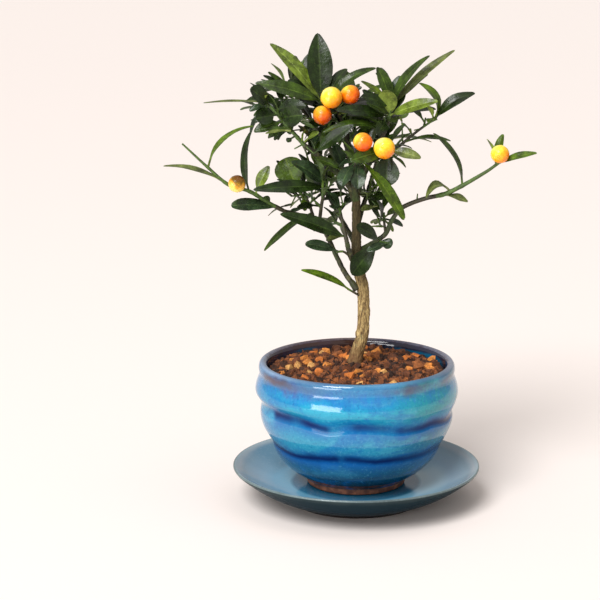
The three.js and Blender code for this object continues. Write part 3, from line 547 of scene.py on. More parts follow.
gap = soil['gap']
bedSides = [(radius - gap, height + bowl['base'] + gap) for radius, height in bowl['inside'][:0:-1]]
bedRadii = np.linspace(0, soil['edge'] - gap, soil['bedRings'])[::-1]
bedTop = [(radius, soilHeight(radius)) for radius in bedRadii]
bedShape = throwPot([(0, bedSides[0][1])] + bedSides + bedTop, soil['bedTurns'], False)
for vert in bedShape.verts:
    if vert.co.z > soil['smoothBelow'] * mm:
        pits = soil['pitShare'] * noise.noise(vert.co * soil['pits'])
        rough = noise.noise(vert.co * soil['lumps']) + pits
        vert.co.z += soil['rough'] * rough * mm
placePiece(meshOf(bedShape, 'soil_bed'), [clay('soilBed', (66, 38, 26))], 'soil', 'soil')


class Bundle:  # many small shapes gathered into one mesh
    def __init__(self):
        self.verts, self.faces, self.paints, self.count = [], [], [], 0

    def add(self, verts, faces, paints):
        self.verts.append(verts)
        self.faces += [[index + self.count for index in face] for face in faces]
        self.paints += paints
        self.count += len(verts)

    def place(self, name, crease, paints, slotName, *nodes):  # edges sharper than the crease stay sharp
        mesh = bpy.data.meshes.new(name)
        mesh.from_pydata((np.concatenate(self.verts) * mm).tolist(), [], self.faces)
        mesh.polygons.foreach_set('material_index', self.paints)
        placePiece(mesh, paints, slotName, *nodes)
        mesh.set_sharp_from_angle(angle=crease * degrees)
        print(name, len(self.faces), 'faces')


pebble = bmesh.new()
bmesh.ops.create_cube(pebble, size=1.2)
bmesh.ops.subdivide_edges(pebble, edges=pebble.edges, cuts=1, use_grid_fill=True, smooth=1)
lump = np.array([vert.co[:] for vert in pebble.verts])
lump /= np.linalg.norm(lump, axis=1).mean()
lumpFaces = [[vert.index for vert in face.verts] for face in pebble.faces]
pebble.free()
grains, crumbs, collar = soil['grains'], soil['crumbs'], soil['collar']
dice = np.random.RandomState(crumbs['seed'])
loose = Bundle()


def addGrain(look, size, place):
    axes = np.linalg.qr(dice.randn(3, 3))[0]
    swell = 1 + look['lumps'] * (dice.rand(len(lump), 1) - 0.5) * 2
    stretch = dice.uniform(0.8, 1.12, 3)
    paint = look['paints'][dice.randint(len(look['paints']))]
    loose.add((lump * swell * stretch) @ axes * size + place, lumpFaces, [paint] * len(lumpFaces))


draw = seeded(grains['seed'])
for number in range(grains['count']):  # the larger grains, where their solids are
    size = mix(*grains['size'], draw())
    nearest = (soil['flatRadius'] + size) / soil['edge']
    radius = (soil['edge'] - size) * math.sqrt(mix(nearest ** 2, 1, draw()))
    angle = draw() * 2 * math.pi
    draw(), draw()  # how the solid is turned
    height = soilHeight(radius) + grains['raised'] * size
    addGrain(grains, size, (radius * math.cos(angle), radius * math.sin(angle), height))
for number in range(crumbs['count']):
    size = dice.uniform(*crumbs['size'])
    radius = (soil['edge'] - size) * math.sqrt(dice.rand())
    angle = dice.rand() * 2 * math.pi
    x, y = radius * math.cos(angle), radius * math.sin(angle)
    height = soilHeight(radius) + dice.uniform(*crumbs['sunk']) * size
    if math.hypot(x - soil['trunk']['middle'], y) > soil['trunk']['radius']:
        addGrain(crumbs, size, (x, y, height))
for number in range(collar['count']):  # banked against the trunk
    angle, radius = 2 * math.pi * number / collar['count'], dice.uniform(*collar['radius'])
    size = dice.uniform(*collar['size'])
    height = soil['crownHeight'] + collar['raised'] * size
    addGrain(crumbs, size, (collar['middle'] + radius * math.cos(angle), radius * math.sin(angle), height))
grainPaints = [clay(f'clayGrain{number}', base) for number, base in enumerate(soil['tints'])]
loose.place('soil_grains', soil['crease'], grainPaints, 'soil', 'soil')


# Curves of the tree, in millimetres

def unit(vector):
    return vector / math.sqrt(float(vector @ vector))


def roundUp(value):
    return int(math.floor(value + 0.5))


nearby = 0.0001  # a curve's tangent is taken between points this near


class Curve:
    def measure(self, divisions=200):
        places = np.array([self.point(i / divisions) for i in range(divisions + 1)])
        steps = np.sqrt(((places[1:] - places[:-1]) ** 2).sum(axis=1))
        self.lengths = np.concatenate([[0.0], np.cumsum(steps)])
        self.length = float(self.lengths[-1])

    def along(self, share):  # the share of the length as the curve's own parameter
        target = share * self.length
        i = min(int(np.searchsorted(self.lengths, target, side='right')) - 1, len(self.lengths) - 2)
        part = (target - self.lengths[i]) / (self.lengths[i + 1] - self.lengths[i])
        return (i + part) / (len(self.lengths) - 1)

    def tangent(self, t):
        before, after = max(t - nearby, 0), min(t + nearby, 1)
        return unit(self.point(after) - self.point(before))

    def pointAt(self, share):
        return self.point(self.along(share))

    def tangentAt(self, share):
        return self.tangent(self.along(share))


class Route(Curve):  # a soft line through points
    def __init__(self, points):
        self.points = np.array(points, dtype=float)
        self.measure()

    def point(self, t):
        points, last = self.points, len(self.points) - 1
        place = last * t
        i = min(int(math.floor(place)), last - 1)
        w = place - i
        before = points[i - 1] if i > 0 else 2 * points[0] - points[1]
        after = points[i + 2] if i + 2 <= last else 2 * points[last] - points[last - 1]
        a, b = points[i], points[i + 1]
        startSlope, endSlope = 0.5 * (b - before), 0.5 * (after - a)
        return (a + startSlope * w + (-3 * a + 3 * b - 2 * startSlope - endSlope) * w * w
                + (2 * a - 2 * b + startSlope + endSlope) * w ** 3)


class Straight(Curve):
    def __init__(self, foot, tip):
        self.foot, self.tip = foot, tip
        self.length = math.sqrt(float((tip - foot) @ (tip - foot)))

    def along(self, share):
        return share

    def point(self, t):
        return self.foot + (self.tip - self.foot) * t

    def tangent(self, t):
        return unit(self.tip - self.foot)


class Arch(Curve):  # a leaf's midrib
    def __init__(self, foot, crest, tip):
        self.foot, self.crest, self.tip = foot, crest, tip

    def point(self, t):
        return (1 - t) ** 2 * self.foot + 2 * (1 - t) * t * self.crest + t * t * self.tip


def taper(radii):
    def radiusAt(share, angle=0):
        place = share * (len(radii) - 1)
        first = min(int(math.floor(place)), len(radii) - 2)
        return mix(radii[first], radii[first + 1], place - first)
    return radiusAt


def squareTo(axis):
    helper = np.array([0.0, 1.0, 0.0]) if abs(axis[1]) < 0.9 else np.array([1.0, 0.0, 0.0])
    across = unit(np.cross(axis, helper))
    return across, unit(np.cross(axis, across))


def ringFrames(curve, rings):  # places along a curve, each with two directions square to it
    frames, side = [], None
    for i in range(rings + 1):
        axis = curve.tangentAt(i / rings)
        side = squareTo(axis)[0] if side is None else side
        side = unit(side - axis * (side @ axis))
        frames.append((curve.pointAt(i / rings), side, np.cross(axis, side)))
    return frames


# Trunk and boughs

trunk = dict(
    foot=81.0,
    path=[
        (-1.7, 0, 78), (0.3, 0, 89), (3.2, -1, 99), (3.8, -1, 110), (3.7, 0, 120), (3.2, 0, 128),
        (1.3, 1, 135), (-0.1, 2, 142), (-0.5, 2, 152), (-0.6, 1, 165), (-0.8, 0, 177), (-1.6, 0, 185),
    ],
    radii=[4.4, 4, 3.5, 3.4, 3.4, 3.4, 3.2, 3, 2.7, 2.5, 2.4, 2.4],
    flare=dict(height=6, spread=1.7, lobes=3, turn=0.4),
    sides=56, rings=260, furrow=0.26, seed=3,
    knots=[(0.21, 0.2, 0.9), (0.33, 2.6, 0.6), (0.47, -1.2, 0.8), (0.56, 1.6, 0.7)],  # share, angle, rise
    knotReach=(2.4, 0.55),  # millimetres along the trunk, radians round it
    bark=[
        (0.3, (72, 53, 28)), (0.42, (118, 94, 54)), (0.52, (158, 133, 84)), (0.66, (196, 170, 114)),
        (0.8, (220, 198, 146)),
    ],
)
boughs = {  # path, radii
    'bough_low_left': (
        [(0, -1, 126), (-7, 0, 135.7), (-12.2, 1, 146), (-18, 2, 158.3), (-22, 3, 164.8)],
        [2, 1.8, 1.5],
    ),
    'bough_left_arm': ([(-22, 3, 164.4), (-31.6, -3, 169.6), (-41.8, -9, 173.4)], [1.35, 1.2]),
    'bough_inner_left': (
        [(-0.6, 0, 141), (-3.6, -3, 145.5), (-5.2, -5, 150.6), (-6.3, -7, 156)],
        [1.6, 1.5, 1.3],
    ),
    'bough_right': (
        [(0, 2, 147), (6.3, 5, 150.4), (12, 6, 153.7), (16.6, 6, 157.8), (19.9, 5, 165.6), (24.9, 3, 172.9)],
        [1.9, 1.7, 1.6, 1.4],
    ),
    'bough_leader': ([(-1.6, 0, 185), (-3.2, 4, 197.6), (-7.2, 6, 211.7)], [2.2, 1.9, 1.5]),
    'bough_upper_left': (
        [(-1, 0, 182), (-8.4, -3, 190.9), (-14.1, -5, 196.8), (-20.9, -7, 203.5), (-30.5, -8, 211)],
        [1.9, 1.7, 1.4],
    ),
    'bough_upper_right': ([(-1, 0, 183), (5.4, 5, 196), (11.6, 6, 208.8)], [1.9, 1.6, 1.4]),
    'bough_far_right': ([(7.8, 5.5, 200), (17.4, 8, 203.3), (25.1, 8, 208.9)], [1.2, 1, 0.9]),
    'bough_front': ([(-1, 0, 178), (-2.6, -10, 191), (-3.7, -18, 201)], [1.6, 1.4, 1.2]),
    'bough_back': ([(-1, 0, 172), (-1, 13, 186), (-3, 25, 199)], [1.8, 1.5, 1.3]),
    'bough_back_left': ([(-1.4, 0, 179), (-12, 15, 199), (-24, 22, 217)], [1.7, 1.4, 1.2]),
    'bough_back_right': ([(-0.6, 1, 163), (6, 13, 180), (12, 24, 198)], [1.6, 1.3, 1.1]),
    'bough_back_low': ([(-0.4, 2, 151), (-7, 14, 161), (-15, 25, 173)], [1.5, 1.2, 1]),
}


def trunkRadius(share, angle):
    flare = trunk['flare']
    rise = share * (trunk['path'][-1][2] - trunk['path'][0][2])
    lobe = 0.5 + 0.5 * math.cos(flare['lobes'] * angle + flare['turn'])
    fade = math.exp(-((rise / flare['height']) ** 2) * 2)
    return taper(trunk['radii'])(share) + flare['spread'] * lobe * fade


def bend(curve, radiusAt, sides, rings, relief):  # a straight rod bent along a curve
    rod = bmesh.new()
    bmesh.ops.create_cone(rod, cap_ends=True, segments=sides, radius1=1, radius2=1, depth=1)
    uprights = [edge for edge in rod.edges if abs(edge.verts[0].co.z - edge.verts[1].co.z) > 0.5]
    bmesh.ops.subdivide_edges(rod, edges=uprights, cuts=rings - 1)
    frames = ringFrames(curve, rings)
    for vert in rod.verts:
        share = vert.co.z + 0.5
        angle = math.atan2(vert.co.y, vert.co.x)
        place, across, over = frames[min(max(int(round(share * rings)), 0), rings)]
        radius = radiusAt(share, angle)
        radius += relief(share * curve.length, angle, radius)
        vert.co = Vector((place + across * radius * math.cos(angle) + over * radius * math.sin(angle)) * mm)
    bmesh.ops.recalc_face_normals(rod, faces=rod.faces)
    return rod


def addPart(whole, part, paint=0):  # joins a part to a piece, in one of its paints
    for face in part.faces:
        face.material_index = paint
    mesh = meshOf(part, 'part')
    whole.from_mesh(mesh)
    bpy.data.meshes.remove(mesh)


furrows = dict(
    wander=(0.4, 0.12), long=(1.5, 0.22), plates=(0.9, 0.5),  # how fine across and along the limb
    wanderReach=1.5, octaves=(1.0, 2.1, 3), sharpness=2.4, plateShare=0.7,
)


def furrowed(depth, seed):  # long furrows that wander and part along a limb
    def relief(distance, angle, radius):
        x, y = Vector((math.cos(angle), math.sin(angle))) * radius

        def spot(fineness, seed, shift=0):
            across, along = fineness
            return Vector((x * across + shift, y * across, distance * along + seed))

        wander = noise.noise(spot(furrows['wander'], seed)) * furrows['wanderReach']
        long = noise.fractal(spot(furrows['long'], seed, wander), *furrows['octaves'])
        plates = noise.noise(spot(furrows['plates'], -seed))
        ridge = 1 - abs(long) * furrows['sharpness']
        return depth * (ridge - 0.5) + depth * furrows['plateShare'] * plates
    return relief


trunkCurve = Route(trunk['path'])
trunkFurrows = furrowed(trunk['furrow'], trunk['seed'])


def trunkRelief(distance, angle, radius):
    share, swell = distance / trunkCurve.length, 0
    reach, width = trunk['knotReach']
    for knotShare, knotAngle, rise in trunk['knots']:
        turn = (angle - knotAngle + math.pi) % (2 * math.pi) - math.pi
        apart = (share - knotShare) * trunkCurve.length
        swell += rise * math.exp(-(apart / reach) ** 2 - (turn / width) ** 2)
    return trunkFurrows(distance, angle, radius) + swell


def barkPaint():
    paint = Paint('trunkBark', (150, 130, 92), 0.82)
    stripes = paint.grain(detail=4, rough=0.62, stretch=(980, 980, 170), warp=0.4)
    cracks = paint.grain(stretch=(1900, 1900, 360), warp=0.6)
    height = paint.axis('Z')
    paint.colour(paint.ramp(stripes, trunk['bark']))
    paint.lay((70, 50, 28), paint.spread(cracks, 0.5, 0.38, end=0.8))
    paint.lay((150, 150, 104), paint.spread(paint.grain(260, rough=0.6), 0.55, 0.75, end=0.5))
    # painted shade: the bark is darkened and greened up among the leaves, partly its own tone and partly the
    # crown's shade
    paint.lay((44, 38, 8), paint.spread(height, 0.118, 0.150), 0.88)  # darker among the leaves
    paint.lay((104, 68, 38), paint.spread(height, 0.099, 0.083), 0.8)  # and browner near the soil
    paint.relief(stripes, depth=0.5, strength=0.8)
    return paint


trunkShape = bend(trunkCurve, trunkRadius, trunk['sides'], trunk['rings'], trunkRelief)
for vert in trunkShape.verts:  # the flat cut at soil level
    vert.co.z = max(vert.co.z, trunk['foot'] * mm)
bmesh.ops.remove_doubles(trunkShape, verts=trunkShape.verts, dist=2 * weld)
bmesh.ops.recalc_face_normals(trunkShape, faces=trunkShape.faces)
placePiece(meshOf(trunkShape, 'trunk_bark'), [barkPaint()], 'bark', 'trunk')

boughLook = dict(
    sides=24, ring=0.9, leastRings=12, furrow=0.2, seedStep=7.3, collar=0.42, collarReach=5,
    slim=dict(bough_low_left=0.78, bough_left_arm=0.88, bough_right=0.85),
    bark=[(0.3, (24, 24, 12)), (0.46, (42, 42, 22)), (0.6, (62, 62, 32)), (0.8, (100, 94, 54))],
)


# the boughs' bark is partly its own dark green-grey and partly painted shade, darkened for the crown it runs
# through
def boughPaint():
    paint = Paint('boughBark', (52, 54, 28), 0.62)
    grain = paint.grain(330, detail=4, rough=0.6, warp=0.4)
    paint.colour(paint.ramp(grain, boughLook['bark']))
    paint.lay((58, 80, 24), paint.spread(paint.grain(90), 0.42, 0.66, end=0.7))
    paint.relief(grain, depth=0.25)
    return paint


def boughRadius(name, curve, radii):
    def radiusAt(share, angle):
        swell = boughLook['collar'] * math.exp(-((share * curve.length / boughLook['collarReach']) ** 2))
        return taper(radii)(share) * boughLook['slim'].get(name, 1) * (1 + swell)
    return radiusAt


boughShape = bmesh.new()
for number, (name, (path, radii)) in enumerate(boughs.items()):
    curve = Route(path)
    rings = max(boughLook['leastRings'], roundUp(curve.length / boughLook['ring']))
    relief = furrowed(boughLook['furrow'], number * boughLook['seedStep'])
    addPart(boughShape, bend(curve, boughRadius(name, curve, radii), boughLook['sides'], rings, relief))
placePiece(meshOf(boughShape, 'bough_bark'), [boughPaint()], 'young_bark', *boughs)
print('trunk and boughs grown')


# Masses of foliage. What shows is placed leaf by leaf, and the rest grows by the rule.
# stem and radii: its own stem
# grow: seed, twigs, leaves on each, reach
# finer: the finer sprigs' seed, how many on the stem, how many on each twig
# leaves: share along the stem, (across, away, up) from foot to tip, tone, width, degrees that the face is
#     turned to the viewer, bow, bluntness, stalk
# fruits: share along the stem, (across, away, up) to the middle, radius
# sprigs: share along the stem, (across, away, up) from foot to tip, leaves as above
masses = {
    'foliage_top': dict(
        stem=[(-7.2, 6, 211.7), (-9.3, 7, 221.8), (-12.4, 6, 229), (-17, 6, 232.6), (-22.4, 7, 233.8)],
        radii=[1.3, 0.9], grow=(331, 13, 2, 26), finer=(10, 4, 1),
        leaves=[
            (1, (-2, 12.3, 37.4), 'deep', 15, 0, 0.03), (1, (-29, 12.3, 31.5), 'fresh', 10, 30),
            (0.98, (-37.2, -7.7, 11.5), 'mid', 9, 60, 0.1), (0.88, (-20.7, 10.7, 11.2), 'deep', 8, 40),
            (0.83, (27.7, 3.9, 19.3), 'mid', 6, 45, 0.2), (0.7, (16.3, -3.9, 11.5), 'deep', 6, 50),
            (0.5, (3.9, -10.5, 2.4), 'fresh', 5, 30),
        ],
        fruits=[(0.75, (0.2, -10, 5.5), 6.1), (0.6, (7.7, -4, 9.5), 5.6), (0.55, (-8.8, -8.3, -0.4), 5.4)],
    ),
    'foliage_upper_left': dict(
        stem=[(-30.5, -8, 211), (-38.4, -7, 219.9), (-46.2, -6, 228.9), (-53.5, -5, 236.1)],
        radii=[1.2, 0.8], grow=(85, 11, 2, 22), finer=(6, 4, 1),
        leaves=[
            (1, (-34.6, -5.8, 0.2), 'olive', 4, 10, 0.02),
            (0.85, (-10.8, -10.5, 11.1), 'deep', 12, 70, 0.07, 0.4),
            (0.65, (-12.8, -7.9, -1.1), 'deep', 11, 55, 0.07, 0.4),
            (0.6, (12.8, -15.7, 3.6), 'deep', 12, 90, 0.08, 0.7), (0.5, (-16.9, -3.4, -5.1), 'mid', 8, 40),
            (0.42, (-10.9, 2.8, -7.4), 'mid', 7, 40), (0.75, (18, -8.2, 3.7), 'deep', 10, 50),
            (0.2, (-5.1, -2.6, -3.1), 'deep', 4, 30),
        ],
        sprigs=[
            (0.92, (0, -3, 0), [(1, (-9.5, -3, -3.5), 'grey', 4.6, 40)]),
            (0.34, (-0.6, -3, 1), [(1, (-19, -4, -1.1), 'mid', 3.4, 45)]),
            (0.3, (-0.8, -4.5, 1), [(1, (-14, -4, -1), 'olive', 2.8, 30)]),
            (0.45, (5, -3, 3), [(1, (10.7, -4, -4), 'mid', 2.8, 40)]),
            (0.12, (3, -2, -1), [(1, (8, -3, 6), 'fresh', 4, 50), (0.5, (2, -6, 7), 'bright', 3, 40)]),
            (0.02, (6, -3, -5), [(1, (22, -5, 17), 'deep', 8, 65, 0.05)]), (0.02, (-5, -2, -2.4), []),
            (0.97, (-0.5, -3, 1), [
                (1, (-2.6, -2, 2.2), 'fresh', 1.9), (0.8, (1.6, -3, 3.2), 'fresh', 2),
                (0.9, (-1.4, -3, -1.8), 'bright', 1.8),
            ]),
        ],
    ),
    'foliage_upper_right': dict(
        stem=[(11.6, 6, 208.8), (16.1, 6, 218.5), (17.7, 5, 225.5), (19.3, 5, 232.4)],
        radii=[1.3, 0.9], grow=(91, 14, 2, 24), finer=(5, 8, 3),
        leaves=[
            (0.7, (-30.2, -13, 5.7), 'deep', 8, 50), (0.35, (-35.8, -16.1, 1.4), 'mid', 6, 35, 0.17),
            (0.75, (-13.7, -13, 8.4), 'deep', 7, 60), (0.6, (-1.8, -11.4, 19.1), 'fresh', 11, 0, 0.12),
            (0.88, (21.6, -2.9, 30.7), 'mid', 7.5, 40, 0.12), (1, (35.9, 5, 31.5), 'olive', 6, 35, 0.06),
            (0.72, (26.9, -11, 10), 'fresh', 8, 55), (0.75, (26.9, 9, 1.9), 'deep', 6.5, 35),
            (1, (-8.2, 4, 22), 'mid', 9, 30), (1, (-17.2, 3, 14.2), 'fresh', 5, 30),
            (0.92, (-17.3, -7, 7.4), 'deep', 8, 60), (1, (20.9, 8, 17.5), 'fresh', 5, 30),
        ],
        sprigs=[(0.98, (13, 2, 13), [(1, (7, 0, 3.6), 'olive', 3.4, 30)])],
    ),
    'foliage_far_right': dict(
        stem=[(25.1, 8, 208.9), (32.7, 8, 215.4), (41, 7, 221.6), (44.9, 6, 223.7)],
        radii=[0.9, 0.6], grow=(220, 5, 2, 16), finer=(9, 4, 1),
        leaves=[
            (0.08, (26.3, -4, 1.1), 'mid', 5, 20, 0.1), (1, (22.8, 0.6, 15.3), 'deep', 7.5, 50, 0.2),
            (1, (-9.2, -2.4, 21.4), 'bright', 8, 45, 0.28), (0.92, (-3.7, -4.5, 8.8), 'fresh', 4),
        ],
        sprigs=[(0.03, (-0.6, -1, 13), [(1, (-1.6, 0, 2.6), 'fresh', 1.6)]), (0.55, (-3.6, -1, -0.6), [])],
    ),
    'foliage_front': dict(
        stem=[(-3.7, -18, 201), (3, -20, 206), (10, -19, 208.5), (18, -16, 209.5)],
        radii=[1.1, 0.8], grow=(431, 10, 2, 18), finer=(12, 8, 3),
        leaves=[
            (0.85, (-19.6, -10.6, -3.9), 'mid', 9, 60),
            (1, (-1.2, -4.4, -19.4), 'deep', 14.5, 10, 0.07, 0.8),
            (0.25, (24.3, -7.4, -33), 'bright', 8.5, 30, 0.06, 1),
            (0.08, (-7.4, -14.5, -10.1), 'grey', 9, 0, 0.12, 0.7),
            (0.15, (0.2, -14, -12.9), 'grey', 9, 0, 0.12, 0.7), (1, (18.2, -3.4, -3.8), 'olive', 7, 50),
            (0.05, (-6.7, -3.7, 8.7), 'deep', 10),
        ],
        fruits=[(0.35, (-1, -5, 9.3), 5.4), (0.8, (0.6, -8, 3), 6)],
    ),
    'foliage_left': dict(
        stem=[(-21.6, 3, 165.4), (-20.3, -2, 177.1), (-18.1, -6, 186.6), (-17, -8, 191.9)],
        radii=[1.1, 0.8], grow=(7, 10, 2, 22), finer=(10, 4, 1),
        leaves=[
            (0.85, (-20, -9.5, 14.8), 'grey', 11, 50), (0.8, (-40.9, -16, 1.3), 'deep', 8, 55, 0.05),
            (0.75, (6.5, -8.6, -8.6), 'grey', 7, 0, 0.1),
        ],
    ),
    'foliage_left_inner': dict(
        stem=[(-24.8, 1.4, 166.4), (-28.5, 4, 177), (-35, 4, 183.5)],
        radii=[1, 0.7], grow=(118, 8, 2, 20), finer=(4, 4, 1),
        leaves=[
            (1, (-7.5, 5, 18.4), 'bright', 17, 60, 0.07, 0.8), (0.8, (1.9, -4.1, -9.1), 'bright', 4.5),
            (0.2, (-27.3, -7.4, -20.8), 'mid', 6, 25),
        ],
    ),
    'foliage_left_arm': dict(
        stem=[
            (-41.8, -9, 173.4), (-50.7, -14, 179.2), (-61.3, -18, 186.4), (-72.5, -20, 190.2),
            (-84.1, -21, 200.3), (-98.4, -21, 213.8),
        ],
        radii=[1.15, 1.1, 1, 0.8, 0.5],
        leaves=[
            (0.56, (-34.2, 2.3, 8.6), 'olive', 5, 20, 0.09), (0.73, (25.8, 1, 23.2), 'bright', 5, 25, 0.2),
            (0.35, (1.1, 9, 32.6), 'deep', 6.5, -40, 0.12), (0.29, (7.6, 3.9, 15.6), 'fresh', 7, 40),
            (0.06, (-26.3, -11.1, 3.2), 'grey', 9, 45, 0.07, 1), (0.1, (-7, 2.2, 4.1), 'mid', 6, 40),
        ],
        fruits=[(0.46, (1, -5.5, 3.2), 4.9)],
    ),
    'foliage_low_left': dict(
        stem=[(-6.3, -7, 156), (-7.9, -6, 162.6), (-9.8, -2, 170.8), (-11.5, 2, 178.6)],
        radii=[1.2, 0.8], grow=(311, 7, 2, 20), finer=(7, 4, 1),
        leaves=[
            (0.08, (-37.3, -8.2, 14.9), 'deep', 9.5, 55, 0.05), (0.9, (-2.5, -4.9, -2.8), 'grey', 7),
            (0.1, (-11.1, 4.8, -3.2), 'olive', 5, 40),
        ],
    ),
    'foliage_low_front': dict(
        stem=[(-4.2, -3.6, 146), (-8, -6, 149.3), (-12, -8, 149.5)],
        radii=[0.8, 0.6],
        leaves=[(0.95, (-19.4, -5.7, 5.6), 'grey', 7.5, 50, 0.07, 0.6)],
    ),
    'foliage_lowest': dict(
        stem=[(0, -2, 123.5), (-3, -3, 125.5), (-5.5, -3.6, 127)],
        radii=[0.7, 0.6],
        leaves=[(0.8, (-28.1, -3.7, 12.6), 'bright', 6, 35, 0.08)],
    ),
    'foliage_right_arm': dict(
        stem=[
            (24.9, 3, 172.9), (31, 0, 176.4), (39.3, -3, 179.8), (49.3, -6, 182.7), (57.6, -8, 187.1),
            (65.9, -9, 192.1), (73.6, -10, 197.1), (78.9, -10, 201.1),
        ],
        radii=[1.35, 1.3, 1.3, 1.1, 0.8],
        leaves=[
            (0.62, (-17.1, 0.2, 29.9), 'mid', 7, 25, 0.13),
            (0.5, (-14.2, -3.1, -3.1), 'olive', 8, 20, 0.45), (0.42, (14.1, -3.4, -3.6), 'olive', 6, 25),
            (0.98, (-5.7, -2, 14.9), 'bright', 5.5), (1, (3.9, 5, 16.6), 'bright', 6),
            (1, (22.7, -1, 6.8), 'bright', 5.5, 35),
        ],
        fruits=[(1, (1.7, -2.5, 6.4), 5.3)],
        sprigs=[(0.17, (0.3, -1, 4.4), [])],
    ),
    'foliage_low_right': dict(
        stem=[(16.4, 6, 157.5), (15.6, 8, 163), (15.4, 10, 169)],
        radii=[0.9, 0.6], grow=(138, 6, 2, 18), finer=(8, 5, 2),
        leaves=[(0.7, (11.1, 3.2, -4.9), 'grey', 5, 40)],
    ),
    'foliage_right_front': dict(
        stem=[(12, 6, 153.7), (12.6, 2, 154.6), (13, -3, 154.4)],
        radii=[0.9, 0.7],
        leaves=[
            (0.95, (-14, -11.6, 10.5), 'deep', 10, 60, 0.07, 0.7),
            (1, (-16.2, -12.6, -17.1), 'deep', 12, 60, -0.2, 0.7),
            (1, (6.8, -2.6, -2.3), 'grey', 7, 50, 0.07, 1, 1),
        ],
        sprigs=[(1, (5, 0, -0.5), [(1, (-12.8, -5, -3.8), 'grey', 4.8, 50)])],
    ),
    'foliage_trunk_right': dict(
        stem=[(-0.5, 1, 170), (4, 4, 176), (8, 8, 182)],
        radii=[1, 0.7], grow=(227, 8, 2, 20), finer=(12, 4, 1),
        leaves=[(1, (5.3, -1.2, -17.9), 'deep', 8, 0, 0.18), (0.7, (9.8, -9.6, 0.9), 'deep', 9, 30)],
        sprigs=[(0.75, (5, -3, -5), [(1, (-9.3, -6, -1.2), 'olive', 4.2, 45)])],
    ),
    'foliage_back': dict(
        stem=[(-3, 25, 199), (-5, 33, 210), (-7, 38, 221)],
        radii=[1.2, 0.8], grow=(120, 16, 3, 30), finer=(11, 5, 2),
    ),
    'foliage_back_left': dict(
        stem=[(-24, 22, 217), (-32, 25, 227), (-39, 25, 235)],
        radii=[1.1, 0.7], grow=(463, 14, 3, 27), finer=(1, 4, 1),
        leaves=[(1, (7.4, 1, 20.9), 'mid', 5, 40), (1, (-13.2, -1, 14.3), 'mid', 5, 40)],
    ),
    'foliage_back_right': dict(
        stem=[(12, 24, 198), (15, 30, 210), (17, 33, 222)],
        radii=[1, 0.7], grow=(139, 16, 3, 28), finer=(1, 4, 1),
    ),
    'foliage_back_low': dict(
        stem=[(-15, 25, 173), (-21, 32, 182), (-25, 37, 192)],
        radii=[1, 0.7], grow=(295, 14, 3, 27), finer=(5, 4, 1),
    ),
}
leafShape = dict(
    stalk=3.6, stalkHalf=0.55, fold=0.22,
    broadest=(0.88, 1.4), fullness=(0.8, 0.55),  # of a pointed leaf and of a blunt one
    firstSpot=0.3, spotStep=0.1,  # where along a leaf its room is tested
)
growth = dict(
    firstTwig=0.3, twigTurn=137.5, twigForward=0.55, twigRise=0.25, twigLength=(0.25, 0.4),
    leafTurn=144, leafPlaces=(0.45, 0.8), endLeafPlace=0.97, sideLean=1.1, endLean=0.25,
    leanSpread=0.3, leafRise=0.2, leafLength=(0.75, 1), leafFace=(-20, 40), leafBow=0.08,
    heart=0.6, space=1.5, ratio=0.33, limbStep=3, twigSpots=(0.5, 0.75, 1),
    clearances=(2.1, 2.1, 3.4),  # of limbs, of the mass's own leaves, of other masses' leaves
)
finerGrowth = dict(growth, firstTwig=0.2, twigLength=(0.2, 0.35), leafLength=(0.7, 1), ratio=0.4,
                   clearances=(0.9, 0.9, 1.2))
finer = dict(leaves=2, reach=0.85, seedStep=31)
# sprigs straight on the boughs, where they pass through the crown: bough, mass, seed, sprigs, leaves, reach
boughSprays = [
    ('bough_upper_left', 'foliage_upper_left', 21, 12, 3, 19),
    ('bough_leader', 'foliage_top', 24, 10, 3, 20),
    ('bough_upper_right', 'foliage_upper_right', 15, 10, 3, 19),
    ('bough_front', 'foliage_front', 17, 9, 3, 19),
    ('bough_inner_left', 'foliage_left_inner', 1, 5, 2, 14),
    ('bough_back', 'foliage_back', 20, 9, 3, 21),
    ('bough_back_left', 'foliage_back_left', 24, 9, 3, 21),
    ('bough_back_right', 'foliage_back_right', 17, 9, 3, 21),
    ('bough_back_low', 'foliage_back_low', 13, 7, 3, 20),
]
sprayTones = dict(
    seed=11, tones=['deep', 'grey', 'mid', 'bright', 'fresh'], chances=[0.48, 0.14, 0.24, 0.1, 0.04],
)
leafSeat = 1.6  # from a stem's tip to the foot of its last leaf
twigRadii, sprigRadii = [0.7, 0.5], [0.5, 0.35]


def leafLines(foot, reach, tone, wide, face=0, bow=0.07, blunt=0, stalk=leafShape['stalk']):
    reach = np.array(reach, dtype=float)
    length = math.sqrt(float(reach @ reach))
    along = reach / length
    highest = unit(up - along * (up @ along))
    sideways = np.cross(along, highest)
    if sideways @ toViewer < 0:
        sideways = -sideways
    upper = highest * math.cos(face * degrees) + sideways * math.sin(face * degrees)
    tip = foot + reach
    crest = (foot + tip) / 2 + upper * (2 * bow * length)
    return dict(middle=Arch(foot, crest, tip), side=unit(np.cross(along, upper)), halfWidth=wide / 2,
                stalk=stalk / length, blunt=blunt, tone=tone)


def leafHalfWidth(lines, share):
    if share <= lines['stalk']:
        return leafShape['stalkHalf']
    blade = (share - lines['stalk']) / (1 - lines['stalk'])
    widest = blade ** mix(*leafShape['broadest'], lines['blunt'])
    swell = max(math.sin(math.pi * widest), 0) ** mix(*leafShape['fullness'], lines['blunt'])
    return leafShape['stalkHalf'] + (lines['halfWidth'] - leafShape['stalkHalf']) * swell


def leafReach(lines):
    spots = []
    share = leafShape['firstSpot']
    while share < 1.01:
        half = 0 if share > 0.99 else leafHalfWidth(lines, share)
        for side in ((-half, 0, half) if half > 1 else (0,)):
            spots.append(lines['middle'].point(min(share, 1)) + lines['side'] * side)
        share += leafShape['spotStep']
    return spots


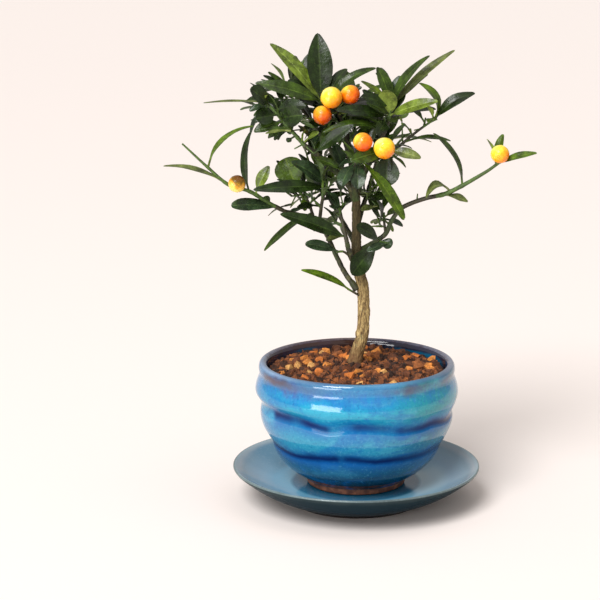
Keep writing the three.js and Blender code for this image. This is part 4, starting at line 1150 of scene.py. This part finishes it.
class Room:  # the places that limbs and leaves have taken
    def __init__(self, most):
        self.spots, self.radii = np.zeros((most, 3)), np.zeros(most)
        self.masses, self.leaves = np.zeros(most, int), np.zeros(most, bool)
        self.count, self.numbers = 0, {}

    def number(self, mass):
        return self.numbers.setdefault(mass, len(self.numbers))

    def take(self, spots, radius, mass, leaf):
        for spot in spots:
            i = self.count
            self.spots[i], self.radii[i] = spot, radius
            self.masses[i], self.leaves[i] = self.number(mass), leaf
            self.count += 1

    def takeLimb(self, curve, radiusAt, mass):
        steps = max(2, roundUp(curve.length / growth['limbStep']))
        for i in range(steps + 1):
            self.take([curve.pointAt(i / steps)], radiusAt(i / steps), mass, False)

    def isClear(self, spots, mass, rule):
        own, leaf = self.masses[:self.count] == self.number(mass), self.leaves[:self.count]
        ofLimbs, ofLeaves, ofOthers = rule['clearances']
        apart = np.where(~leaf, ofLimbs, np.where(own, ofLeaves, ofOthers)) + self.radii[:self.count]
        for spot in spots:
            near = np.sqrt(((self.spots[:self.count] - spot) ** 2).sum(axis=1)) <= apart
            if np.any(near & (leaf | ~own)):
                return False
        return True


room = Room(most=20000)


def twigLeaf(twig, number, count, twigTurn, reach, draw, rule):
    atEnd = number == count - 1
    place = rule['endLeafPlace'] if atEnd else mix(*rule['leafPlaces'], number / count)
    turn = twigTurn + number * rule['leafTurn'] * degrees + draw()
    lean = (rule['endLean'] if atEnd else rule['sideLean']) + rule['leanSpread'] * draw()
    length = reach * mix(*rule['leafLength'], draw())
    face = mix(*rule['leafFace'], draw())
    axis = twig.tangent(place)
    across, over = squareTo(axis)
    sideways = across * (lean * math.cos(turn)) + over * (lean * math.sin(turn))
    way = unit(axis + sideways + up * rule['leafRise'])
    return leafLines(twig.point(place), way * length, 'deep', length * rule['ratio'], face, rule['leafBow'])


def growTwigs(name, kind, stem, seed, count, perTwig, reach, rule, home, space):
    twigs, leaves = [], []
    draw = seeded(seed)
    heart = home.pointAt(rule['heart'])
    for i in range(count):
        share = mix(rule['firstTwig'], 1, (i + 0.5) / count)
        foot, axis = stem.pointAt(share), stem.tangentAt(share)
        across, over = squareTo(axis)
        turn = i * rule['twigTurn'] * degrees + draw()
        onwards = axis * rule['twigForward'] + up * rule['twigRise']
        way = unit(onwards + across * math.cos(turn) + over * math.sin(turn))
        twig = Straight(foot, foot + way * (reach * mix(*rule['twigLength'], draw())))
        twigSpots = [twig.point(place) for place in rule['twigSpots']]
        grown = []
        for k in range(perTwig):
            lines = twigLeaf(twig, k, perTwig, turn, reach, draw, rule)
            spots = leafReach(lines)
            fromHeart = spots[-1] - heart
            if math.sqrt(fromHeart @ fromHeart) < space * rule['space'] and room.isClear(spots, name, rule):
                grown.append(lines)
                room.take(spots, 0, name, True)
        if grown and room.isClear(twigSpots, name, rule):
            twigs.append(twig)
            leaves += grown
            room.take(twigSpots, twigRadii[0], name, False)
    tone = toneDice.choice(sprayTones['tones'], p=sprayTones['chances'])  # one for the whole spray
    crown[name][kind] += twigs
    crown[name]['leaves'] += [dict(lines, tone=tone) for lines in leaves]


room.takeLimb(trunkCurve, taper(trunk['radii']), 'trunk')
for name, (path, radii) in boughs.items():
    room.takeLimb(Route(path), taper(radii), name)
toneDice = np.random.RandomState(sprayTones['seed'])
crown = {}
for name, mass in masses.items():
    stem = Route(mass['stem'])
    lastFoot = 1 - leafSeat / stem.length
    room.takeLimb(stem, taper(mass['radii']), name)
    leaves = [leafLines(stem.pointAt(min(share, lastFoot)), *row) for share, *row in mass.get('leaves', [])]
    for lines in leaves:
        room.take(leafReach(lines), 0, name, True)
    fruits = []
    for share, reach, radius in mass.get('fruits', []):
        foot = stem.pointAt(min(share, lastFoot))
        fruits.append((foot, foot + np.array(reach, dtype=float), radius))
        room.take([foot + reach], radius, name, True)
    crown[name] = dict(stem=stem, leaves=leaves, fruits=fruits, twigs=[], sprigs=[])
grownMasses = {name: mass for name, mass in masses.items() if 'grow' in mass}
for name, mass in grownMasses.items():
    stem, space = crown[name]['stem'], mass['grow'][-1]
    growTwigs(name, 'twigs', stem, *mass['grow'], growth, stem, space)
for name, mass in masses.items():
    for place, reach, leaves in mass.get('sprigs', []):
        foot = crown[name]['stem'].pointAt(place)
        sprig = Straight(foot, foot + np.array(reach, dtype=float))
        crown[name]['sprigs'].append(sprig)
        for share, *row in leaves:
            lines = leafLines(sprig.point(share), *row)
            crown[name]['leaves'].append(lines)
            room.take(leafReach(lines), 0, name, True)
for name, mass in grownMasses.items():  # finer sprigs within the same space
    seed, onStem, onTwig = mass['finer']
    stem, space = crown[name]['stem'], mass['grow'][-1]
    carriers = [(stem, onStem)] + [(twig, onTwig) for twig in crown[name]['twigs']]
    for number, (carrier, count) in enumerate(carriers):
        growTwigs(name, 'sprigs', carrier, seed * finer['seedStep'] + number, count, finer['leaves'],
                  space * finer['reach'], finerGrowth, stem, space)
for bough, name, *counts in boughSprays:
    curve = Route(boughs[bough][0])
    growTwigs(name, 'sprigs', curve, *counts, finerGrowth, curve, curve.length)
print('crown grown:', sum(len(tree['leaves']) for tree in crown.values()), 'leaves')


# Leaves: a folded blade with a sunk midrib, its two faces closed at the margin

leafLook = dict(
    across=(-1, -0.74, -0.42, -0.07, 0.07, 0.42, 0.74, 1),
    shares=(0, 0.03, 0.07, 0.11, 0.16, 0.23, 0.31, 0.4, 0.5, 0.6, 0.7, 0.79, 0.87, 0.94, 0.98),
    thickness=(0.17, 0.5),  # half of it, of the blade and of the stalk
    stalkFade=0.05, ribWidth=0.2, ribDrop=0.14, ribUnder=0.3,
    seed=5, wave=0.1, ripples=9, tipCalm=4, foldCurve=1.25, thinning=0.98, crease=55,
    tones=dict(  # upper face, lower face, rib
        deep=((27, 41, 12), (56, 74, 26), (42, 58, 18)),
        # the greyish tone below is a deep leaf painted with its sheen, greyer and lighter than deep
        grey=((36, 52, 30), (66, 84, 44), (52, 70, 36)),
        mid=((44, 62, 14), (76, 96, 32), (64, 84, 24)),
        bright=((66, 88, 15), (96, 114, 34), (88, 108, 30)),
        fresh=((86, 102, 31), (114, 130, 54), (110, 126, 54)),
        olive=((84, 94, 44), (106, 114, 62), (106, 114, 64)),
    ),
)


def leafPaint(name, base, roughness):
    shades = [(0.34, 0.66), (0.5, 1), (0.68, 1.32, 4)]
    paint = mottled(name, base, roughness, 180, 0.6, shades, Specular_IOR_Level=0.36)
    # painted glints: pale greyish flecks of sheen laid over the leaf
    paint.lay(shaded(base, 1.4, 24), paint.spread(paint.grain(1000, rough=0.7), 0.54, 0.7, end=0.4))
    paint.gloss(paint.grain(130, rough=0.6), roughness - 0.1, roughness + 0.14)
    paint.relief(paint.grain(380, detail=4, rough=0.65), depth=0.28)
    return paint


leafPaints = []
for tone, (upper, lower, rib) in leafLook['tones'].items():
    leafPaints += [leafPaint(f'leaf_{tone}', upper, 0.28), leafPaint(f'leaf_{tone}_under', lower, 0.5),
                   leafPaint(f'leaf_{tone}_rib', rib, 0.45)]
waveDice = np.random.RandomState(leafLook['seed'])


def addLeaf(bundle, lines):
    look = leafLook
    columns = np.array(look['across'])
    onRib = np.abs(columns) < look['ribWidth']
    swing, phase = waveDice.uniform(0.5, 1.0) * look['wave'], waveDice.uniform(0, 2 * math.pi)
    verts = []
    for share in look['shares']:
        half = leafHalfWidth(lines, share)
        spot = lines['middle'].point(share)
        upper = unit(np.cross(lines['side'], lines['middle'].tangent(share)))
        onStalk = 1 if share <= lines['stalk'] else math.exp(-(share - lines['stalk']) / look['stalkFade'])
        rise = leafShape['fold'] * (half - leafShape['stalkHalf']) * np.abs(columns) ** look['foldCurve']
        ripple = np.sin(share * look['ripples'] + phase + columns) * columns ** 2
        flutter = swing * half * ripple * min(1, look['tipCalm'] * (1 - share))
        thick = mix(*look['thickness'], onStalk) * np.sqrt(1.02 - columns ** 2 * look['thinning'])
        top = rise + flutter + thick - look['ribDrop'] * onRib * (1 - onStalk)
        bottom = rise + flutter - thick - look['ribUnder'] * (1 - share) * onRib
        sideways = columns * half
        outline = [*zip(sideways, top), *zip(sideways[-2:0:-1], bottom[-2:0:-1])]
        verts += [spot + lines['side'] * x + upper * z for x, z in outline]
    foot, tip = len(verts), len(verts) + 1
    verts += [lines['middle'].point(0), lines['middle'].point(1)]
    first = 3 * list(look['tones']).index(lines['tone'])
    around, face, ribColumn = 2 * len(columns) - 2, len(columns) - 1, len(columns) // 2 - 1
    faces, paints = [], []
    for i, share in enumerate(look['shares'][1:]):
        for k in range(around):
            a, b = i * around + k, i * around + (k + 1) % around
            faces.append([a, b, b + around, a + around])
            paints.append(first + (2 if k == ribColumn or share <= lines['stalk'] else 0 if k < face else 1))
    for k in range(around):
        faces += [[foot, (k + 1) % around, k], [tip, foot - around + k, foot - around + (k + 1) % around]]
        paints += [first + 2, first + (0 if k < face else 1)]
    bundle.add(np.array(verts), faces, paints)


leaves = Bundle()
for tree in crown.values():
    for lines in tree['leaves']:
        addLeaf(leaves, lines)
leaves.place('leaves', leafLook['crease'], leafPaints, 'foliage', *masses)


# Twigs: the masses' stems, side twigs and sprigs

twigLook = dict(
    sides=(12, 8, 6), rings=(8, 4, 3), ring=1.2, join=1.2, knuckle=0.16, knuckleReach=0.02, crease=55,
    greenElsewhere=0.62, greenFrom=dict(
        foliage_right_arm=0.36, foliage_left_arm=0.1, foliage_right_front=0.4, foliage_upper_left=0.03,
    ),
    tints=[(52, 48, 28), (66, 90, 30), (146, 132, 92)],
)


def addTube(bundle, curve, radiusAt, sides, rings, green=-1):  # in green bark beyond a share of its length
    verts, faces, paints = [], [], []
    for i, (place, across, over) in enumerate(ringFrames(curve, rings)):
        radius = radiusAt(i / rings)
        for k in range(sides):
            angle = 2 * math.pi * k / sides
            verts.append(place + across * radius * math.cos(angle) + over * radius * math.sin(angle))
            a, b = i * sides + k, i * sides + (k + 1) % sides
            if i < rings:
                faces.append([a, b, b + sides, a + sides])
                paints.append(int(i / rings > green))
    faces += [list(range(sides))[::-1], [rings * sides + k for k in range(sides)]]
    bundle.add(np.array(verts), faces, paints + [int(0 > green), 1])


twigs = Bundle()
for name, tree in crown.items():
    stem, radii = tree['stem'], taper(masses[name]['radii'])
    knots = [share for share, *row in masses[name].get('leaves', [])]
    start = stem.pointAt(0) - stem.tangentAt(0) * twigLook['join']
    whole = Route([start, *stem.points])

    def stemRadius(share):
        knuckle = sum(math.exp(-((share - knot) / twigLook['knuckleReach']) ** 2) for knot in knots)
        return radii(share) * (1 + twigLook['knuckle'] * min(knuckle, 1))

    rings = max(twigLook['rings'][0], roundUp(whole.length / twigLook['ring']))
    green = twigLook['greenFrom'].get(name, twigLook['greenElsewhere'])
    addTube(twigs, whole, stemRadius, twigLook['sides'][0], rings, green)
    for twig in tree['twigs']:
        addTube(twigs, twig, taper(twigRadii), twigLook['sides'][1], twigLook['rings'][1])
    for sprig in tree['sprigs']:
        addTube(twigs, sprig, taper(sprigRadii), twigLook['sides'][2], twigLook['rings'][2])


def twigPaint(name, base):
    paint = mottled(name, base, 0.6, 500, 0.65, [(0.3, 0.7), (0.52, 1), (0.75, 1.3)])
    paint.relief(paint.grain(900), depth=0.1)
    return paint


twigPaints = [twigPaint(f'twig{number}', base) for number, base in enumerate(twigLook['tints'])]
twigs.place('twigs', twigLook['crease'], twigPaints, 'foliage', *masses)


# Fruit: pitted rind, a green calyx at the stalk and a small scar at the other end

fruitLook = dict(
    segments=(36, 24), flat=0.97, lumps=(2.2, 0.03),  # scale, share of the radius
    dimples=((0.07, 0.03), (0.04, 0.02)),  # at the stalk and at the end: depth, reach
    ripeness=['yellow', 'orange', 'orange', 'orange', 'yellow', 'turning', 'amber'],
    # For ripe fruit the stops run from a painted highlight at the upper left to painted shade at the lower
    # right, along with the ripening; the turning fruit's run goes up to its own olive top.
    ripeAndLightWay=(0.5, -0.15, -0.75), turningWay=(0.3, -0.1, 0.75),  # the way in which a rind's stops run
    calyx=dict(segments=20, radius=1.9, inner=0.62, lobes=5, seat=0.955, droop=0.6, thick=0.35),
    stalk=dict(radii=[0.6, 0.75], sides=10, rings=5, into=0.9),
)
rinds = dict(
    yellow=[(0.05, (255, 240, 140)), (0.28, (255, 220, 62)), (0.55, (252, 188, 30)), (0.9, (238, 130, 16))],
    orange=[(0.05, (255, 214, 80)), (0.25, (252, 170, 36)), (0.5, (242, 122, 8)), (0.85, (218, 76, 2))],
    amber=[(0.05, (255, 238, 110)), (0.32, (255, 214, 56)), (0.6, (250, 170, 28)), (0.9, (236, 112, 10))],
    turning=[
        (0.1, (255, 236, 150)), (0.34, (244, 204, 90)), (0.52, (214, 150, 34)), (0.68, (112, 84, 12)),
        (0.86, (104, 62, 12)),
    ],
)


# The rind's stops are partly ripening and partly painted light: pale where a highlight is painted, deep
# orange where shade is painted.
def rindPaint(name, stops):  # ripening and painted light run across each fruit, as its own attribute says
    paint = Paint(name, stops[0][1], 0.22, Subsurface_Weight=0.15, Subsurface_Radius=(0.003, 0.0015, 0.0004))
    blushAndLight = paint.plus(paint.attribute('ripeAndLitSide'), paint.sway(paint.grain(210, detail=4, rough=0.65), 0.9))
    paint.colour(paint.ramp(blushAndLight, stops))
    paint.relief(paint.grain(1300, detail=2, rough=0.5), depth=0.16)
    return paint


def rindBall(middle, radius):
    ball = bmesh.new()
    across, high = fruitLook['segments']
    (stalkDent, stalkReach), (endDent, endReach) = fruitLook['dimples']
    scale, lumps = fruitLook['lumps']
    bmesh.ops.create_uvsphere(ball, u_segments=across, v_segments=high, radius=radius * mm)
    for vert in ball.verts:
        heading = vert.co.normalized()
        dimple = stalkDent * math.exp(-((1 - heading.z) / stalkReach))
        dimple += endDent * math.exp(-((1 + heading.z) / endReach))
        vert.co *= 1 - dimple + lumps * noise.noise(heading * scale + Vector(middle))
        vert.co.z *= fruitLook['flat']
    return ball


def calyxStar(radius):
    look, star = fruitLook['calyx'], bmesh.new()
    bmesh.ops.create_circle(star, cap_ends=True, segments=look['segments'], radius=look['radius'] * mm)
    for vert in star.verts:
        angle = math.atan2(vert.co.y, vert.co.x)
        vert.co *= look['inner'] + (1 - look['inner']) * math.cos(look['lobes'] * angle)
        outwards = vert.co.length / (look['radius'] * mm)
        vert.co.z = (radius * look['seat'] - look['droop'] * outwards ** 2) * mm
    risen = bmesh.ops.extrude_face_region(star, geom=star.faces[:])
    lifted = [item for item in risen['geom'] if isinstance(item, bmesh.types.BMVert)]
    bmesh.ops.translate(star, vec=(0, 0, look['thick'] * mm), verts=lifted)
    return star


fruitPaints = [rindPaint(f'rind_{rind}', stops) for rind, stops in rinds.items()]
fruitPaints += [twigPaint('calyx', (86, 104, 48)), twigPaint('fruit_stalk', (92, 110, 50))]
allFruit = [fruit for tree in crown.values() for fruit in tree['fruits']]
fruitShape = bmesh.new()
for (foot, middle, radius), ripeness in zip(allFruit, fruitLook['ripeness']):
    turnTo = Vector(foot - middle).to_track_quat('Z', 'Y').to_matrix().to_4x4()
    turnTo.translation = Vector(middle) * mm
    ball, star = rindBall(middle, radius), calyxStar(radius)
    for part in (ball, star):
        bmesh.ops.transform(part, matrix=turnTo, verts=part.verts)
    bmesh.ops.recalc_face_normals(star, faces=star.faces)
    look = fruitLook['stalk']
    stalk = Straight(foot, mix(foot, middle, 1 - look['into'] * radius / math.dist(foot, middle)))
    stem = bend(stalk, taper(look['radii']), look['sides'], look['rings'], lambda *place: 0)
    for part, paint in ((ball, list(rinds).index(ripeness)), (star, len(rinds)), (stem, len(rinds) + 1)):
        addPart(fruitShape, part, paint)
ripeAndLitSide = fruitShape.verts.layers.float.new('ripeAndLitSide')
fruitMiddles = np.array([middle for foot, middle, radius in allFruit])
for vert in fruitShape.verts:
    apart = np.array(vert.co) / mm - fruitMiddles
    nearest = int(np.argmin((apart ** 2).sum(axis=1)))
    way = fruitLook['turningWay' if fruitLook['ripeness'][nearest] == 'turning' else 'ripeAndLightWay']
    vert[ripeAndLitSide] = 0.5 + 0.5 * float(apart[nearest] @ np.array(way)) / allFruit[nearest][2]
placePiece(meshOf(fruitShape, 'fruit'), fruitPaints, 'foliage', *masses)
print('fruit:', len(allFruit))
